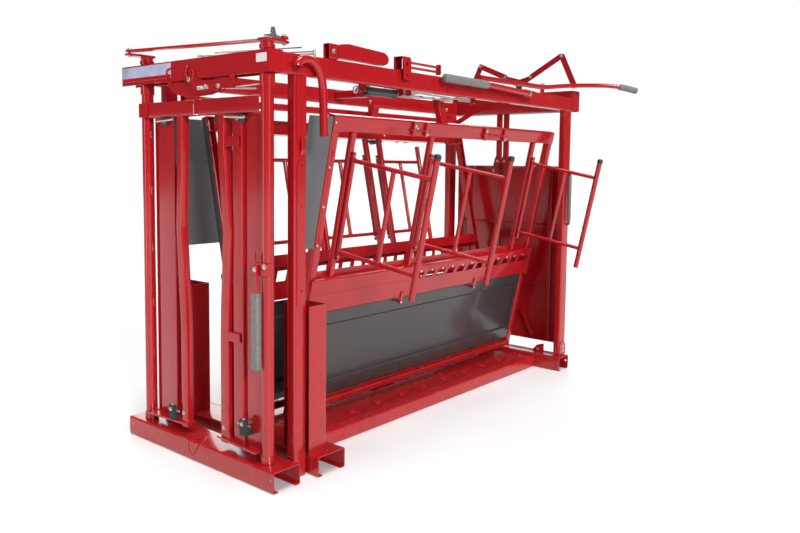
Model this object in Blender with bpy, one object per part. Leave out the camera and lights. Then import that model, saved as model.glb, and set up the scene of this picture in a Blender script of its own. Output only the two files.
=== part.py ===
"""Cattle squeeze chute, manual, with swinging headgate, V-shaped squeeze sides,
side access gates, drop-down lower panels and a split sliding tailgate.

Axes: +X towards the tail, +Y towards the far side, +Z up. The origin is on the
floor, at mid-length, on the centre line. Working stations are written as
(st, yy, z): st is the distance behind the front face of the head beam, yy the
distance in from the outer face of the near top rail, and z the height.
"""
import bpy
import bmesh
from math import cos, sin, radians, pi, hypot, atan2
from mathutils import Vector, Matrix

# ------------------------------------------------------------------ dimensions
MID_STATION = 1.500      # station of the origin
HALF_WIDTH = 0.5375      # half of the frame width over the top rails
WIDTH = 2 * HALF_WIDTH
GAP = 0.0004             # paint gap between touching pieces
WALL = 0.004             # wall of the rolled sections

BASE_H = 0.100           # height of the floor channels
BASE_T = 0.006
RAIL_H = 0.098           # top rails
RAIL_Z1 = 2.000
RAIL_Z0 = RAIL_Z1 - RAIL_H
RAIL_D = 0.050
BEAM_Z1 = 2.005
BEAM_D = 0.083

HEAD_ST = (-0.030, 0.135)
SECOND_ST = (0.236, 0.420)
TAIL_ST = (2.720, 2.862)
CORNER_ST = (0.150, 0.228)
TAILPOST_ST = (2.776, 2.866)
BASERAIL_Y = (0.177, 0.500)
BASERAIL_H = 0.080

POST_R = 0.030           # gate post pipe
POST_ST = 0.037
POST_Y = 0.054

LEAN = 12.0              # outward lean of the squeeze sides, degrees
TOP_Y, TOP_Z = 0.096, 1.745   # outer top edge of a squeeze side
PANEL_ST = (0.515, 2.800)   # near side
FAR_PANEL_X0 = 0.345        # the far side reaches further forward
PANEL_D = 0.050
S_RAIL = 0.085           # depth of its top rail, down the slope
S_SILL = (0.880, 1.072)
S_DROP = (1.078, 1.628)
S_BOTTOM = (1.634, 1.676)
PIVOT_S, PIVOT_OFF = 1.655, -0.025

GATE_W = 0.469           # access gate, hinge to latch tube
GATE_S = (0.230, 0.735)  # its cross tubes, down the slope

RED = (0.46, 0.014, 0.020, 1)
DARK_RED = (0.28, 0.012, 0.016, 1)
BLACK = (0.022, 0.022, 0.024, 1)
GREY = (0.20, 0.19, 0.18, 1)
STEEL = (0.55, 0.55, 0.54, 1)

# ------------------------------------------------------------------ clear scene
for ob in list(bpy.data.objects):
    bpy.data.objects.remove(ob, do_unlink=True)
for me in list(bpy.data.meshes):
    bpy.data.meshes.remove(me)

COLL = bpy.context.scene.collection


def W(st, yy, z):
    """Station coordinates to the part's own frame."""
    return Vector((st - MID_STATION, yy - HALF_WIDTH, z))


def material(name, color, rough, metal):
    m = bpy.data.materials.new(name)
    m.use_nodes = True
    b = m.node_tree.nodes["Principled BSDF"]
    b.inputs["Base Color"].default_value = color
    b.inputs["Roughness"].default_value = rough
    b.inputs["Metallic"].default_value = metal
    m.diffuse_color = color
    return m


FINISH = {
    "red": (RED, 0.25, 0.0), "dark": (BLACK, 0.35, 0.0), "grip": (GREY, 0.6, 0.0),
    "zinc": (STEEL, 0.35, 1.0), "rubber": (BLACK, 0.8, 0.0), "plastic": (BLACK, 0.5, 0.0),
}


# ------------------------------------------------------------------ mesh pieces
class Shape:
    """A list of closed shells, later fused into one body."""

    def __init__(self):
        self.shells = []

    def add(self, verts, faces):
        self.shells.append(([Vector(v) for v in verts], [list(f) for f in faces]))
        return self

    def box(self, x0, x1, y0, y1, z0, z1):
        a, b = W(x0, y0, z0), W(x1, y1, z1)
        v = [(x, y, z) for z in (a.z, b.z) for y in (a.y, b.y) for x in (a.x, b.x)]
        f = [(0, 2, 3, 1), (4, 5, 7, 6), (0, 1, 5, 4), (2, 6, 7, 3), (0, 4, 6, 2), (1, 3, 7, 5)]
        return self.add(v, f)

    def prism(self, profile, at0, at1):
        """profile(point, end) pairs: extrude a closed outline between two ends."""
        n = len(profile)
        v = [at0(*p) for p in profile] + [at1(*p) for p in profile]
        f = [list(range(n))[::-1], list(range(n, 2 * n))]
        f += [[i, (i + 1) % n, n + (i + 1) % n, n + i] for i in range(n)]
        return self.add(v, f)

    def tube(self, path, r, sides=12, ri=0.0, closed_ends=True, squash=1.0):
        """Round bar, or open-ended pipe when ri > 0, along a polyline."""
        path = [Vector(p) for p in path]
        n = len(path)
        t0 = (path[1] - path[0]).normalized()
        ref = Vector((0, 0, 1)) if abs(t0.z) < 0.9 else Vector((1, 0, 0))
        u = t0.cross(ref).normalized()
        rings, inner = [], []
        prev_t = t0
        for i, p in enumerate(path):
            if i == 0:
                t = t0
            elif i == n - 1:
                t = (path[-1] - path[-2]).normalized()
            else:
                t = ((path[i] - path[i - 1]).normalized() + (path[i + 1] - path[i]).normalized()).normalized()
            q = prev_t.rotation_difference(t)
            u = (q @ u)
            u = (u - t * u.dot(t)).normalized()
            prev_t = t
            w = t.cross(u)
            k = 1.0
            if 0 < i < n - 1:
                half = (path[i + 1] - path[i]).normalized().dot(t)
                k = 1.0 / max(half, 0.5)
                bend = ((path[i + 1] - path[i]).normalized() - (path[i] - path[i - 1]).normalized())
                bd = bend.normalized() if bend.length > 1e-6 else None
            else:
                bd = None
            for store, rad in ((rings, r), (inner, ri)):
                ring = []
                for a in range(sides):
                    ang = 2 * pi * (a + 0.5) / sides
                    d = u * cos(ang) * rad + w * sin(ang) * rad * squash
                    if bd is not None:
                        c = d.dot(bd)
                        d = d + bd * c * (k - 1.0)
                    ring.append(p + d)
                store.append(ring)
        v, f = [], []
        for ring in rings:
            v += ring
        for i in range(n - 1):
            for a in range(sides):
                b = (a + 1) % sides
                f.append([i * sides + a, i * sides + b, (i + 1) * sides + b, (i + 1) * sides + a])
        if ri <= 0:
            f.append(list(range(sides))[::-1])
            f.append([(n - 1) * sides + a for a in range(sides)])
        else:
            o = len(v)
            for ring in inner:
                v += ring
            for i in range(n - 1):
                for a in range(sides):
                    b = (a + 1) % sides
                    f.append([o + i * sides + b, o + i * sides + a, o + (i + 1) * sides + a, o + (i + 1) * sides + b])
            for a in range(sides):
                b = (a + 1) % sides
                f.append([b, a, o + a, o + b])
                e = (n - 1) * sides
                f.append([e + a, e + b, o + e + b, o + e + a])
        return self.add(v, f)

    def rect_pipe(self, x0, x1, y0, y1, z0, z1, along, t=WALL):
        """Open-ended rectangular tube along X, Y or Z."""
        lo, hi = [x0, y0, z0], [x1, y1, z1]
        k = "xyz".index(along)
        a, b = [i for i in range(3) if i != k]
        v = []
        for end in (lo[k], hi[k]):
            for inset in (0.0, t):
                for ca, cb in ((0, 0), (1, 0), (1, 1), (0, 1)):
                    p = [0, 0, 0]
                    p[k] = end
                    p[a] = (lo[a] + inset) if ca == 0 else (hi[a] - inset)
                    p[b] = (lo[b] + inset) if cb == 0 else (hi[b] - inset)
                    v.append(W(*p))
        f = []
        for i in range(4):
            j = (i + 1) % 4
            f.append([i, j, 8 + j, 8 + i])
            f.append([4 + j, 4 + i, 12 + i, 12 + j])
            f.append([j, i, 4 + i, 4 + j])
            f.append([8 + i, 8 + j, 12 + j, 12 + i])
        return self.add(v, f)

    def mirrored(self):
        out = Shape()
        for v, f in self.shells:
            out.add([Vector((p.x, -p.y, p.z)) for p in v], [g[::-1] for g in f])
        return out

    def moved(self, M):
        out = Shape()
        for v, f in self.shells:
            out.add([M @ p for p in v], f)
        return out


def shell_mesh(name, shells):
    me = bpy.data.meshes.new(name)
    v, f = [], []
    for sv, sf in shells:
        o = len(v)
        v += [tuple(p) for p in sv]
        f += [[i + o for i in g] for g in sf]
    me.from_pydata(v, [], f)
    bm = bmesh.new()
    bm.from_mesh(me)
    bmesh.ops.recalc_face_normals(bm, faces=bm.faces)
    bm.to_mesh(me)
    bm.free()
    return me


def boolean(base, shells, op):
    """Fuse or cut the base object with other shells, exactly."""
    if not shells:
        return
    tool = bpy.data.objects.new("tool", shell_mesh("tool", shells))
    COLL.objects.link(tool)
    mod = base.modifiers.new("b", "BOOLEAN")
    mod.operation = op
    mod.solver = "EXACT"
    mod.use_self = True
    mod.object = tool
    bpy.context.view_layer.update()
    dg = bpy.context.evaluated_depsgraph_get()
    me = bpy.data.meshes.new_from_object(base.evaluated_get(dg))
    base.modifiers.remove(mod)
    old = base.data
    base.data = me
    bpy.data.meshes.remove(old)
    tm = tool.data
    bpy.data.objects.remove(tool, do_unlink=True)
    bpy.data.meshes.remove(tm)


def node(name, shape, finish, cut=None):
    ob = bpy.data.objects.new(name, shell_mesh(name, shape.shells[:1]))
    COLL.objects.link(ob)
    boolean(ob, shape.shells[1:], "UNION")
    if cut is not None:
        boolean(ob, cut.shells, "DIFFERENCE")
    bm = bmesh.new()
    bm.from_mesh(ob.data)
    bmesh.ops.remove_doubles(bm, verts=bm.verts, dist=1e-6)
    bmesh.ops.dissolve_degenerate(bm, edges=bm.edges, dist=1e-7)
    bm.to_mesh(ob.data)
    bm.free()
    ob.data.name = name
    ob.data.materials.clear()
    c, r, m = FINISH[finish]
    ob.data.materials.append(material(name + "_paint", c, r, m))
    ob.data.shade_smooth()
    ob.data.set_sharp_from_angle(angle=radians(35))
    return ob


def both(stem, build, finish, cut=None):
    """The same piece on the near side and, mirrored, on the far side."""
    s = build()
    c = cut() if cut else None
    node(stem + "_near", s, finish, c)
    node(stem + "_far", s.mirrored(), finish, c.mirrored() if c else None)


def along_y(y0, y1):
    return (lambda st, z: W(st, y0, z)), (lambda st, z: W(st, y1, z))


def along_x(x0, x1):
    return (lambda yy, z: W(x0, yy, z)), (lambda yy, z: W(x1, yy, z))


def along_z(z0, z1):
    return (lambda st, yy: W(st, yy, z0)), (lambda st, yy: W(st, yy, z1))


def ring_xy(st, yy, r, z0, z1, n=20):
    return [(st + r * cos(2 * pi * (i + .5) / n), yy + r * sin(2 * pi * (i + .5) / n)) for i in range(n)], z0, z1


# ------------------------------------------------------------------ floor frame
def lipped_channel(s, st, y0, y1, h=BASE_H, t=BASE_T, lip=0.030):
    a, b = st
    prof = [(a, 0), (a + lip, 0), (a + lip, t), (a + t, t), (a + t, h - t), (b - t, h - t), (b - t, t),
            (b - lip, t), (b - lip, 0), (b, 0), (b, h), (a, h)]
    return s.prism(prof, *along_y(y0, y1))


node("head_base_channel", lipped_channel(Shape(), HEAD_ST, -0.060, WIDTH + 0.060), "red")
node("second_base_channel", lipped_channel(Shape(), SECOND_ST, -0.075, WIDTH + 0.075), "red")
node("tail_base_channel", lipped_channel(Shape(), TAIL_ST, -0.032, WIDTH + 0.032), "red")


def base_rail():
    y0, y1 = BASERAIL_Y
    t, h = 0.006, BASERAIL_H
    prof = [(y0, 0), (y0 + 0.030, 0), (y0 + 0.030, t), (y0 + t, t), (y0 + t, h - t), (y1 - t, h - t),
            (y1 - t, h - 0.022), (y1, h - 0.022), (y1, h), (y0, h)]
    return Shape().prism(prof, *along_x(SECOND_ST[1] + GAP, TAIL_ST[0] - GAP))


both("base_rail", base_rail, "red")
CM0, CM1 = MID_STATION - 0.05, MID_STATION + 0.05
node("floor_cross_member", Shape().prism(
    [(CM0, 0), (CM1, 0), (CM1, 0.056), (CM1 - .006, 0.056), (CM1 - .006, .006), (CM0 + .006, .006), (CM0 + .006, .056), (CM0, .056)],
    *along_y(BASERAIL_Y[0] + 0.032, WIDTH - BASERAIL_Y[0] - 0.032)), "red")

# ------------------------------------------------------------------ posts, rails
both("corner_post", lambda: Shape().rect_pipe(*CORNER_ST, 0, RAIL_D, 0, RAIL_Z0 - GAP, "z"), "red")
both("tail_post", lambda: Shape().rect_pipe(*TAILPOST_ST, 0, RAIL_D, BASE_H + GAP, RAIL_Z0 - GAP, "z"), "red")
both("top_rail", lambda: Shape().rect_pipe(BEAM_D + GAP, TAILPOST_ST[1], 0, RAIL_D, RAIL_Z0, RAIL_Z1, "x"), "red")


def box_cover():
    x0, x1, y0, y1, t = CORNER_ST[1] + GAP, 0.345, -0.020, 0.160, 0.003
    prof = [(x0, y0), (x1, y0), (x1, y1), (x0, y1), (x0, y1 - t), (x1 - t, y1 - t), (x1 - t, y0 + t), (x0, y0 + t)]
    return Shape().prism(prof, *along_z(BASE_H + GAP, 0.822))


both("box_cover", box_cover, "red")


def head_beam():
    t = WALL
    prof = [(0, RAIL_Z0), (t, RAIL_Z0), (t, BEAM_Z1 - t), (BEAM_D - t, BEAM_Z1 - t), (BEAM_D - t, RAIL_Z0),
            (BEAM_D, RAIL_Z0), (BEAM_D, BEAM_Z1), (0, BEAM_Z1)]
    return Shape().prism(prof, *along_y(0.0, 1.205))


holes = Shape()
for yy in (POST_Y, WIDTH - POST_Y):
    pr, z0, z1 = ring_xy(POST_ST, yy, POST_R + 0.0015, 1.95, 2.05)
    holes.prism(pr, *along_z(z0, z1))
hb_shape = head_beam()
hb_shape.prism([(0.800, RAIL_Z0 + .002), (0.800, 1.880), (0.735, 1.842), (0.660, 1.826), (0.430, 1.826), (0.340, 1.850), (0.300, RAIL_Z0 + .002)],
               *along_x(0.0200, 0.0280))
hb_shape.prism([(0.299, RAIL_Z0 + .0005), (0.801, RAIL_Z0 + .0005), (0.801, RAIL_Z0 + .0055), (0.299, RAIL_Z0 + .0055)], *along_x(0.002, BEAM_D - .002))
hb_shape.tube([W(0.024, 0.470, 1.868), W(0.058, 0.470, 1.868)], 0.009, 12)
hb_shape.box(0.0005, BEAM_D - 0.0005, 0.0, 0.004, RAIL_Z0 + .0005, BEAM_Z1 - .0005)      # closed near end
node("head_top_beam", hb_shape, "red", holes)

TB0, TB1 = TAILPOST_ST[1] + GAP, 2.980
TRACK_Z0, TRACK_Z1 = RAIL_Z0, 2.052
tp = [(TB0, TRACK_Z0), (TB0 + .028, TRACK_Z0), (TB0 + .028, TRACK_Z0 + .004), (TB0 + .004, TRACK_Z0 + .004), (TB0 + .004, TRACK_Z1 - .004),
      (TB1 - .004, TRACK_Z1 - .004), (TB1 - .004, TRACK_Z0 + .004), (TB1 - .040, TRACK_Z0 + .004), (TB1 - .040, TRACK_Z0), (TB1, TRACK_Z0), (TB1, TRACK_Z1), (TB0, TRACK_Z1)]
LX = 2.922                 # plane of the tailgate linkage
RK = (0.475, 2.125)        # its centre pivot
tb = Shape().prism(tp, *along_y(0.0, WIDTH))
tb.box(LX - 0.016, LX + 0.040, RK[0] - 0.030, RK[0] + 0.030, TRACK_Z1 - .002, 2.072)
tb.box(LX - 0.015, LX - 0.009, RK[0] - 0.028, RK[0] + 0.028, 2.070, RK[1] + 0.022)
tb.tube([W(LX - 0.012, *RK), W(LX + 0.012, *RK)], 0.008, 10)
node("tail_top_beam", tb, "red")
node("mid_top_beam", Shape().rect_pipe(1.440, 1.490, RAIL_D + GAP, WIDTH - RAIL_D - GAP, 1.933, 1.985, "y"), "red")
hr = Shape().rect_pipe(CORNER_ST[1] + 0.010, TAILPOST_ST[0] - 0.010, 0.980, 1.020, 1.822, 1.864, "x", 0.003)
for x in (0.250, 1.780, 2.690):                                          # plates that hang it from the far rail
    hr.box(x, x + 0.045, 1.0175, WIDTH - RAIL_D - GAP, 1.8235, 1.965)
node("far_hanger_rail", hr, "red")

# ------------------------------------------------------------------ headgate
def gate_post():
    s = Shape().tube([W(POST_ST, POST_Y, BASE_H + 0.001), W(POST_ST, POST_Y, 2.046)], POST_R, 20, POST_R - WALL)
    s.tube([W(POST_ST, POST_Y, BASE_H + 0.001), W(POST_ST, POST_Y, BASE_H + 0.036)], POST_R + 0.005, 20, POST_R - WALL + 0.001)
    s.tube([W(POST_ST, POST_Y, 1.850), W(POST_ST, POST_Y, 1.897)], POST_R + 0.005, 20, POST_R - WALL + 0.001)
    return s


def crank(direction, pin_top):
    """Crank arm plate on top of a gate post, with its upright pin."""
    a = direction
    s = Shape()
    x0, x1 = sorted((POST_ST - a * 0.036, POST_ST + a * 0.122))
    s.prism([(x0, POST_Y - .034), (x1, POST_Y - .022), (x1, POST_Y + .022), (x0, POST_Y + .034)] if a > 0 else
            [(x0, POST_Y - .022), (x1, POST_Y - .034), (x1, POST_Y + .034), (x0, POST_Y + .022)], *along_z(2.044, 2.056))
    s.tube([W(POST_ST + a * 0.100, POST_Y, 2.050), W(POST_ST + a * 0.100, POST_Y, pin_top)], 0.008, 12)
    return s


near_post = gate_post()
near_post.shells += crank(+1, 2.086).shells
node("gate_post_near", near_post, "red")
far_post = gate_post()
far_post.shells += crank(-1, 2.0612).shells
node("gate_post_far", far_post.mirrored(), "red")

CRANK = 0.100
PIN_N = (POST_ST + CRANK, POST_Y)
PIN_F = (POST_ST - CRANK, WIDTH - POST_Y)


def flat_bar(s, p, q, w, z0, z1, over=0.02):
    """Flat bar lying level between two (st, yy) points, with over-run ends."""
    p, q = Vector(p), Vector(q)
    d = (q - p).normalized()
    n = Vector((-d.y, d.x)) * w / 2
    p, q = p - d * over, q + d * over
    c = d * (w * 0.30)
    pts = [p + n, p - c + n * 0.4, p - c - n * 0.4, p - n, q - n, q + c - n * 0.4, q + c + n * 0.4, q + n]
    return s.prism([(a.x, a.y) for a in pts], *along_z(z0, z1))


tie = flat_bar(Shape(), PIN_N, PIN_F, 0.036, 2.062, 2.076, 0.012)
tie.tube([W(PIN_F[0], PIN_F[1], 2.070), W(PIN_F[0], PIN_F[1], 2.084)], 0.0105, 6)
tie_holes = Shape()
pr, z0, z1 = ring_xy(PIN_N[0], PIN_N[1], 0.0095, 2.05, 2.09, 14)
tie_holes.prism(pr, *along_z(z0, z1))
node("gate_tie_bar", tie, "red", tie_holes)

LEAF_Z = (1.728, 1.806)
NECK_NEAR = [(0.364, 1.735), (0.364, 1.560), (0.326, 1.170), (0.348, 0.790), (0.352, 0.640), (0.352, 0.130)]
NECK_FAR = [(0.702, 1.735), (0.702, 1.560), (0.718, 1.170), (0.694, 0.790), (0.686, 0.640), (0.686, 0.130)]


def rect_sweep(s, pts, x0, x1, w, t=0.003):
    """Square tube bent in the Y-Z plane through (yy, z) points, open at both ends."""
    n = len(pts)

    def offs(d):
        out = []
        for i in range(n):
            p = Vector(pts[i])
            a = (Vector(pts[i]) - Vector(pts[i - 1])).normalized() if i > 0 else None
            b = (Vector(pts[i + 1]) - Vector(pts[i])).normalized() if i < n - 1 else None
            if a is None or b is None:
                m, k = Vector((0, -1)), 1.0
            else:
                m = (a + b).normalized()
                k = 1.0 / m.dot(b)
            nn = Vector((-m.y, m.x))
            q = p + nn * d * k
            out.append((q.x, pts[i][1] if a is None or b is None else q.y))
        return out

    vo, f = [], []
    for (dw, dx) in ((w / 2, 0.0), (w / 2 - t, t)):
        L, R = offs(dw), offs(-dw)
        for i in range(n):
            for (yy, z), x in ((L[i], x0 + dx), (L[i], x1 - dx), (R[i], x1 - dx), (R[i], x0 + dx)):
                vo.append(W(x, yy, z))
    o = 4 * n
    for i in range(n - 1):
        for a in range(4):
            b = (a + 1) % 4
            f.append([i * 4 + a, i * 4 + b, (i + 1) * 4 + b, (i + 1) * 4 + a])
            f.append([o + i * 4 + b, o + i * 4 + a, o + (i + 1) * 4 + a, o + (i + 1) * 4 + b])
    for a in range(4):
        b = (a + 1) % 4
        f.append([b, a, o + a, o + b])
        e = (n - 1) * 4
        f.append([e + a, e + b, o + e + b, o + e + a])
    s.add(vo, f)
    return s


def leaf(neck, y_end, y_in, side):
    """One headgate leaf: head rail, hinge plate, stile, bent neck tube, straps, foot plate."""
    t = WALL
    y0 = POST_Y + POST_R + GAP
    s = Shape()
    z0, z1 = LEAF_Z
    s.prism([(0.012, z0), (0.060, z0), (0.060, z0 + t), (0.012 + t, z0 + t), (0.012 + t, z1 - t), (0.060, z1 - t), (0.060, z1), (0.012, z1)],
            *along_y(y0, y_end))
    if side == "near":
        rect_sweep(s, neck, 0.0125, 0.0640, 0.060)
        s.box(0.0345, 0.0405, y0 + 0.001, 0.224, 0.138, z0 + 0.002)       # hinge plate
        s.box(0.026, 0.052, 0.221, 0.295, 0.1385, z0 + 0.0025)            # stile
        for za, zb in ((1.575, 1.622), (0.640, 0.688)):
            s.box(0.015, 0.028, 0.235, y_in, za, zb)                      # straps
    else:
        rect_sweep(s, neck, 0.0125, 0.0590, 0.050)
        s.box(0.0600, 0.0660, y0 + 0.001, 0.155, 0.138, z0 + 0.002)       # recessed hinge plate
        s.box(0.0350, 0.0655, 0.149, 0.155, 0.1385, z0 + 0.0015)
        s.box(0.0345, 0.0405, 0.1495, 0.295, 0.1380, z0 + 0.0025)         # stile plate
        s.box(0.0020, 0.0064, 0.024, 0.0920, z0 + .001, z1 - .001)        # strap round the front of the post
        s.box(0.0022, 0.0150, 0.0850, 0.0918, z0 + .0012, z1 - .0012)
    s.prism([(-0.020, y0 + 0.0005), (0.074, y0 + 0.0005), (0.066, y_in + 0.060), (0.004, y_in + 0.060)], *along_z(0.146, 0.158))
    return s


def drain(neck):
    """Drain hole through the foot plate, up inside the neck tube."""
    return Shape().tube([W(0.036, neck[-1][0], 0.10), W(0.036, neck[-1][0], 0.20)], 0.012, 12)


near_leaf = leaf(NECK_NEAR, 0.543, 0.345, "near")
near_leaf.box(-0.004, 0.0064, 0.020, 0.106, 0.985, 1.045)                 # plate for the hand lever
near_leaf.box(-0.0038, 0.0365, 0.0860, 0.1055, 0.986, 1.044)
node("gate_leaf_near", near_leaf, "red", drain(NECK_NEAR))
far_neck = [(WIDTH - y, z) for y, z in NECK_FAR]
node("gate_leaf_far", leaf(far_neck, WIDTH - 0.583, 0.366, "far").mirrored(), "red", drain(far_neck).mirrored())


def bumper(y0, z0, x1):
    return Shape().prism([(-0.014, y0), (x1, y0), (x1, y0 + 0.045), (-0.014, y0 + 0.045)], *along_z(z0, z0 + 0.0766))


node("gate_bumper_near", bumper(0.160, 0.212, 0.0345 - GAP), "rubber")
node("gate_bumper_far", bumper(0.288, 0.158 + GAP, 0.022).mirrored(), "rubber")

# hand lever on the near leaf, a flat bar in a soft sleeve
HL_X = (-0.020, -0.0065)
HL_Y = 0.079
hl = Shape().box(HL_X[0], HL_X[1], HL_Y - 0.012, HL_Y + 0.012, 0.560, 1.040)
hl.tube([W(-0.012, HL_Y, 1.015), W(-0.0044, HL_Y, 1.015)], 0.008, 12)
node("gate_hand_lever", hl, "red")
gs = Shape().rect_pipe(HL_X[0] - 0.008, HL_X[1] + 0.0065, HL_Y - 0.026, HL_Y + 0.026, 0.548, 0.905, "z", 0.006)
node("gate_hand_grip", gs, "grip")

# pawl on the latch plate below the head beam
pw = Shape().prism([(0.440, 1.885), (0.440, 1.852), (0.500, 1.838), (0.575, 1.838), (0.590, 1.855), (0.560, 1.878), (0.500, 1.890)], *along_x(0.030, 0.044))
pwh = Shape()
pwh.tube([W(0.020, 0.470, 1.868), W(0.070, 0.470, 1.868)], 0.0105, 14)
node("head_latch_pawl", pw, "red", pwh)

# crook handle that works the headgate
CROOK = [(0.145, 1.948), (0.165, 1.966), (0.200, 1.975), (0.235, 1.969), (0.266, 1.948), (0.288, 1.915), (0.300, 1.870), (0.306, 1.800), (0.311, 1.624)]
ck = Shape().tube([W(x, -0.030, z) for x, z in CROOK], 0.020, 14, 0.016)
ck.tube([W(0.155, -0.014, 1.957), W(0.155, -GAP, 1.957)], 0.014, 12)
node("head_crook_handle", ck, "red")

# ------------------------------------------------------------------ squeeze sides
TAU = radians(LEAN)
UP = Vector((0, -sin(TAU), cos(TAU)))      # up the near side
OUT = Vector((0, -cos(TAU), -sin(TAU)))    # out of the near side


def S(st, s, off):
    """Point on the near squeeze side: st along it, s down its slope, off outwards."""
    return W(st, TOP_Y, TOP_Z) - UP * s + OUT * off


def sbox(shape, x0, x1, s0, s1, o0, o1):
    v = [S(x, s, o) for s in (s1, s0) for o in (o1, o0) for x in (x0, x1)]
    f = [(0, 2, 3, 1), (4, 5, 7, 6), (0, 1, 5, 4), (2, 6, 7, 3), (0, 4, 6, 2), (1, 3, 7, 5)]
    return shape.add(v, f)


def schan(shape, x0, x1, s0, s1, o0, o1, run, t=0.004):
    """Channel section, open towards the inside of the chute."""
    if run == "x":
        prof = [(s0, o1), (s1, o1), (s1, o0), (s1 - t, o0), (s1 - t, o1 - t), (s0 + t, o1 - t), (s0 + t, o0), (s0, o0)]
        return shape.prism(prof, lambda s, o: S(x0, s, o), lambda s, o: S(x1, s, o))
    prof = [(x0, o1), (x1, o1), (x1, o0), (x1 - t, o0), (x1 - t, o1 - t), (x0 + t, o1 - t), (x0 + t, o0), (x0, o0)]
    return shape.prism(prof, lambda x, o: S(x, s0, o), lambda x, o: S(x, s1, o))


X1 = PANEL_ST[1]


SLOT_X, SLOT_PITCH, STRAP_W, STRAP_SLANT = 1.445, 0.111, 0.036, 0.030


def squeeze_frame(bars, hang, X0, strip_top, lip, slots_from):
    s = Shape()
    schan(s, X0, X1, 0.0, S_RAIL, -PANEL_D, 0.0, "x")
    schan(s, X0 + .0005, X0 + 0.050, 0.002, S_BOTTOM[1] - .001, -PANEL_D + .0008, -0.0008, "s")
    schan(s, X1 - 0.050, X1 - .0005, 0.002, S_BOTTOM[1] - .001, -PANEL_D + .0008, -0.0008, "s")
    # sill: back strip, shelf, front face, slotted band bridged by straps
    sbox(s, X0 + .001, X1 - .001, strip_top, 0.884, -0.0405, -0.0365)
    sbox(s, X0 + .0015, X1 - .0015, 0.880, 0.8845, -0.0403, 0.020)
    sbox(s, X0 + .001, X1 - .001, 0.880, lip, 0.0165, 0.0205)
    sbox(s, X0 + .001, X1 - .001, 0.965, 1.072, 0.0165, 0.0205)
    sbox(s, X0 + .0015, X1 - .0015, 1.0675, 1.0718, -0.040, 0.020)
    if slots_from > X0 + 0.06:
        sbox(s, X0 + .0480, slots_from, lip - .004, 0.970, 0.0145, 0.0195)
    first = int((SLOT_X - slots_from) / SLOT_PITCH)
    for i in range(-first, 12):
        c = SLOT_X + SLOT_PITCH * (i + 0.5)
        top, low = c + STRAP_SLANT / 2, c - STRAP_SLANT / 2
        if low - STRAP_W / 2 > slots_from and top + STRAP_W / 2 < X1 - 0.047:
            s.prism([(top - STRAP_W / 2, lip - .005), (top + STRAP_W / 2, lip - .005), (low + STRAP_W / 2, 0.970), (low - STRAP_W / 2, 0.970)],
                    lambda x, k: S(x, k, 0.0145), lambda x, k: S(x, k, 0.0195))
    sbox(s, X0 + .002, X0 + .049, 0.881, 1.071, -0.003, 0.0202)
    sbox(s, X1 - .049, X1 - .002, 0.881, 1.071, -0.003, 0.0202)
    schan(s, X0 + .001, X1 - .001, *S_BOTTOM, -PANEL_D + .002, -0.001, "x")
    for xb in bars:
        sbox(s, xb - 0.016, xb + 0.016, S_RAIL - 0.003, 0.883, -0.037, -0.005)
        for sk in (GATE_S[0] - 0.034, GATE_S[1] + 0.034):       # hinge knuckles
            s.tube([S(xb, sk - 0.010, 0.012), S(xb, sk + 0.010, 0.012)], 0.011, 10)
            sbox(s, xb - .006, xb + .006, sk - 0.0095, sk + 0.0095, -0.010, 0.006)
    for xl in (X0 + 0.115, X1 - 0.125):                           # pivot lugs
        s.tube([S(xl, PIVOT_S, PIVOT_OFF), S(xl + 0.030, PIVOT_S, PIVOT_OFF)], 0.0105, 12)
        sbox(s, xl + 0.011, xl + 0.018, S_BOTTOM[0] + .002, S_BOTTOM[1] - .002, -0.045, -0.003)
    # hanger arm that steadies the top rail
    s.prism([(0.0035, -0.046), (0.0035, -0.002), (-0.136, -0.074), (-0.140, -0.118)],
            lambda k, o: S(hang, k, o), lambda k, o: S(hang + 0.060, k, o))
    return s


BAR_NEAR = (0.685, 1.360, 2.550)
BAR_FAR = (0.685, 1.660, 1.800)
node("squeeze_side_near", squeeze_frame(BAR_NEAR, 1.420, PANEL_ST[0], 0.850, 0.928, 1.405), "red")
node("squeeze_side_far", squeeze_frame(BAR_FAR, 1.700, FAR_PANEL_X0, 0.812, 0.905, FAR_PANEL_X0 + 0.050).mirrored(), "red")


def drop_panel(X0):
    """Pressed lower sheet with a stiffening fold along its top and bottom."""
    s0, s1 = S_DROP
    line = [(s0, -0.030), (s0 + .012, -0.008), (s0 + .080, -0.008), (s0 + .092, -0.020), (s1 - .120, -0.020),
            (s1 - .108, -0.008), (s1 - .030, -0.008), (s1 - .014, -0.030)]
    t = 0.003
    prof = line + [(a, b - t) for a, b in line[::-1]]
    x0, x1 = X0 + 0.0530, X1 - 0.0530
    return Shape().prism(prof, lambda s, o: S(x0, s, o), lambda s, o: S(x1, s, o))


node("drop_panel_near", drop_panel(PANEL_ST[0]), "dark")
node("drop_panel_far", drop_panel(FAR_PANEL_X0).mirrored(), "dark")


HOOK_S = 1.102


def hook(x):
    """Turn button on the drop panel that overlaps the sill face."""
    s = Shape()
    sbox(s, x - 0.011, x + 0.011, 1.036, 1.116, 0.0225, 0.0290)
    s.tube([S(x, HOOK_S, -0.0076), S(x, HOOK_S, 0.0255)], 0.0085, 12)
    return s


HOOKS = (1.295, 2.080)
for i, x in enumerate(HOOKS, 1):
    node("drop_latch_near_%d" % i, hook(x), "red")
    node("drop_latch_far_%d" % i, hook(x).mirrored(), "red")


def shoulder_sheet(x0, x1):
    s = Shape()
    prof = [(x0, -0.004), (x1, -0.004), (x1, -0.045), (x1 - .003, -0.045), (x1 - .003, -0.007), (x0, -0.007)]
    s.prism(prof, lambda x, o: S(x, 0.012, o), lambda x, o: S(x, 0.705, o))
    return s


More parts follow.
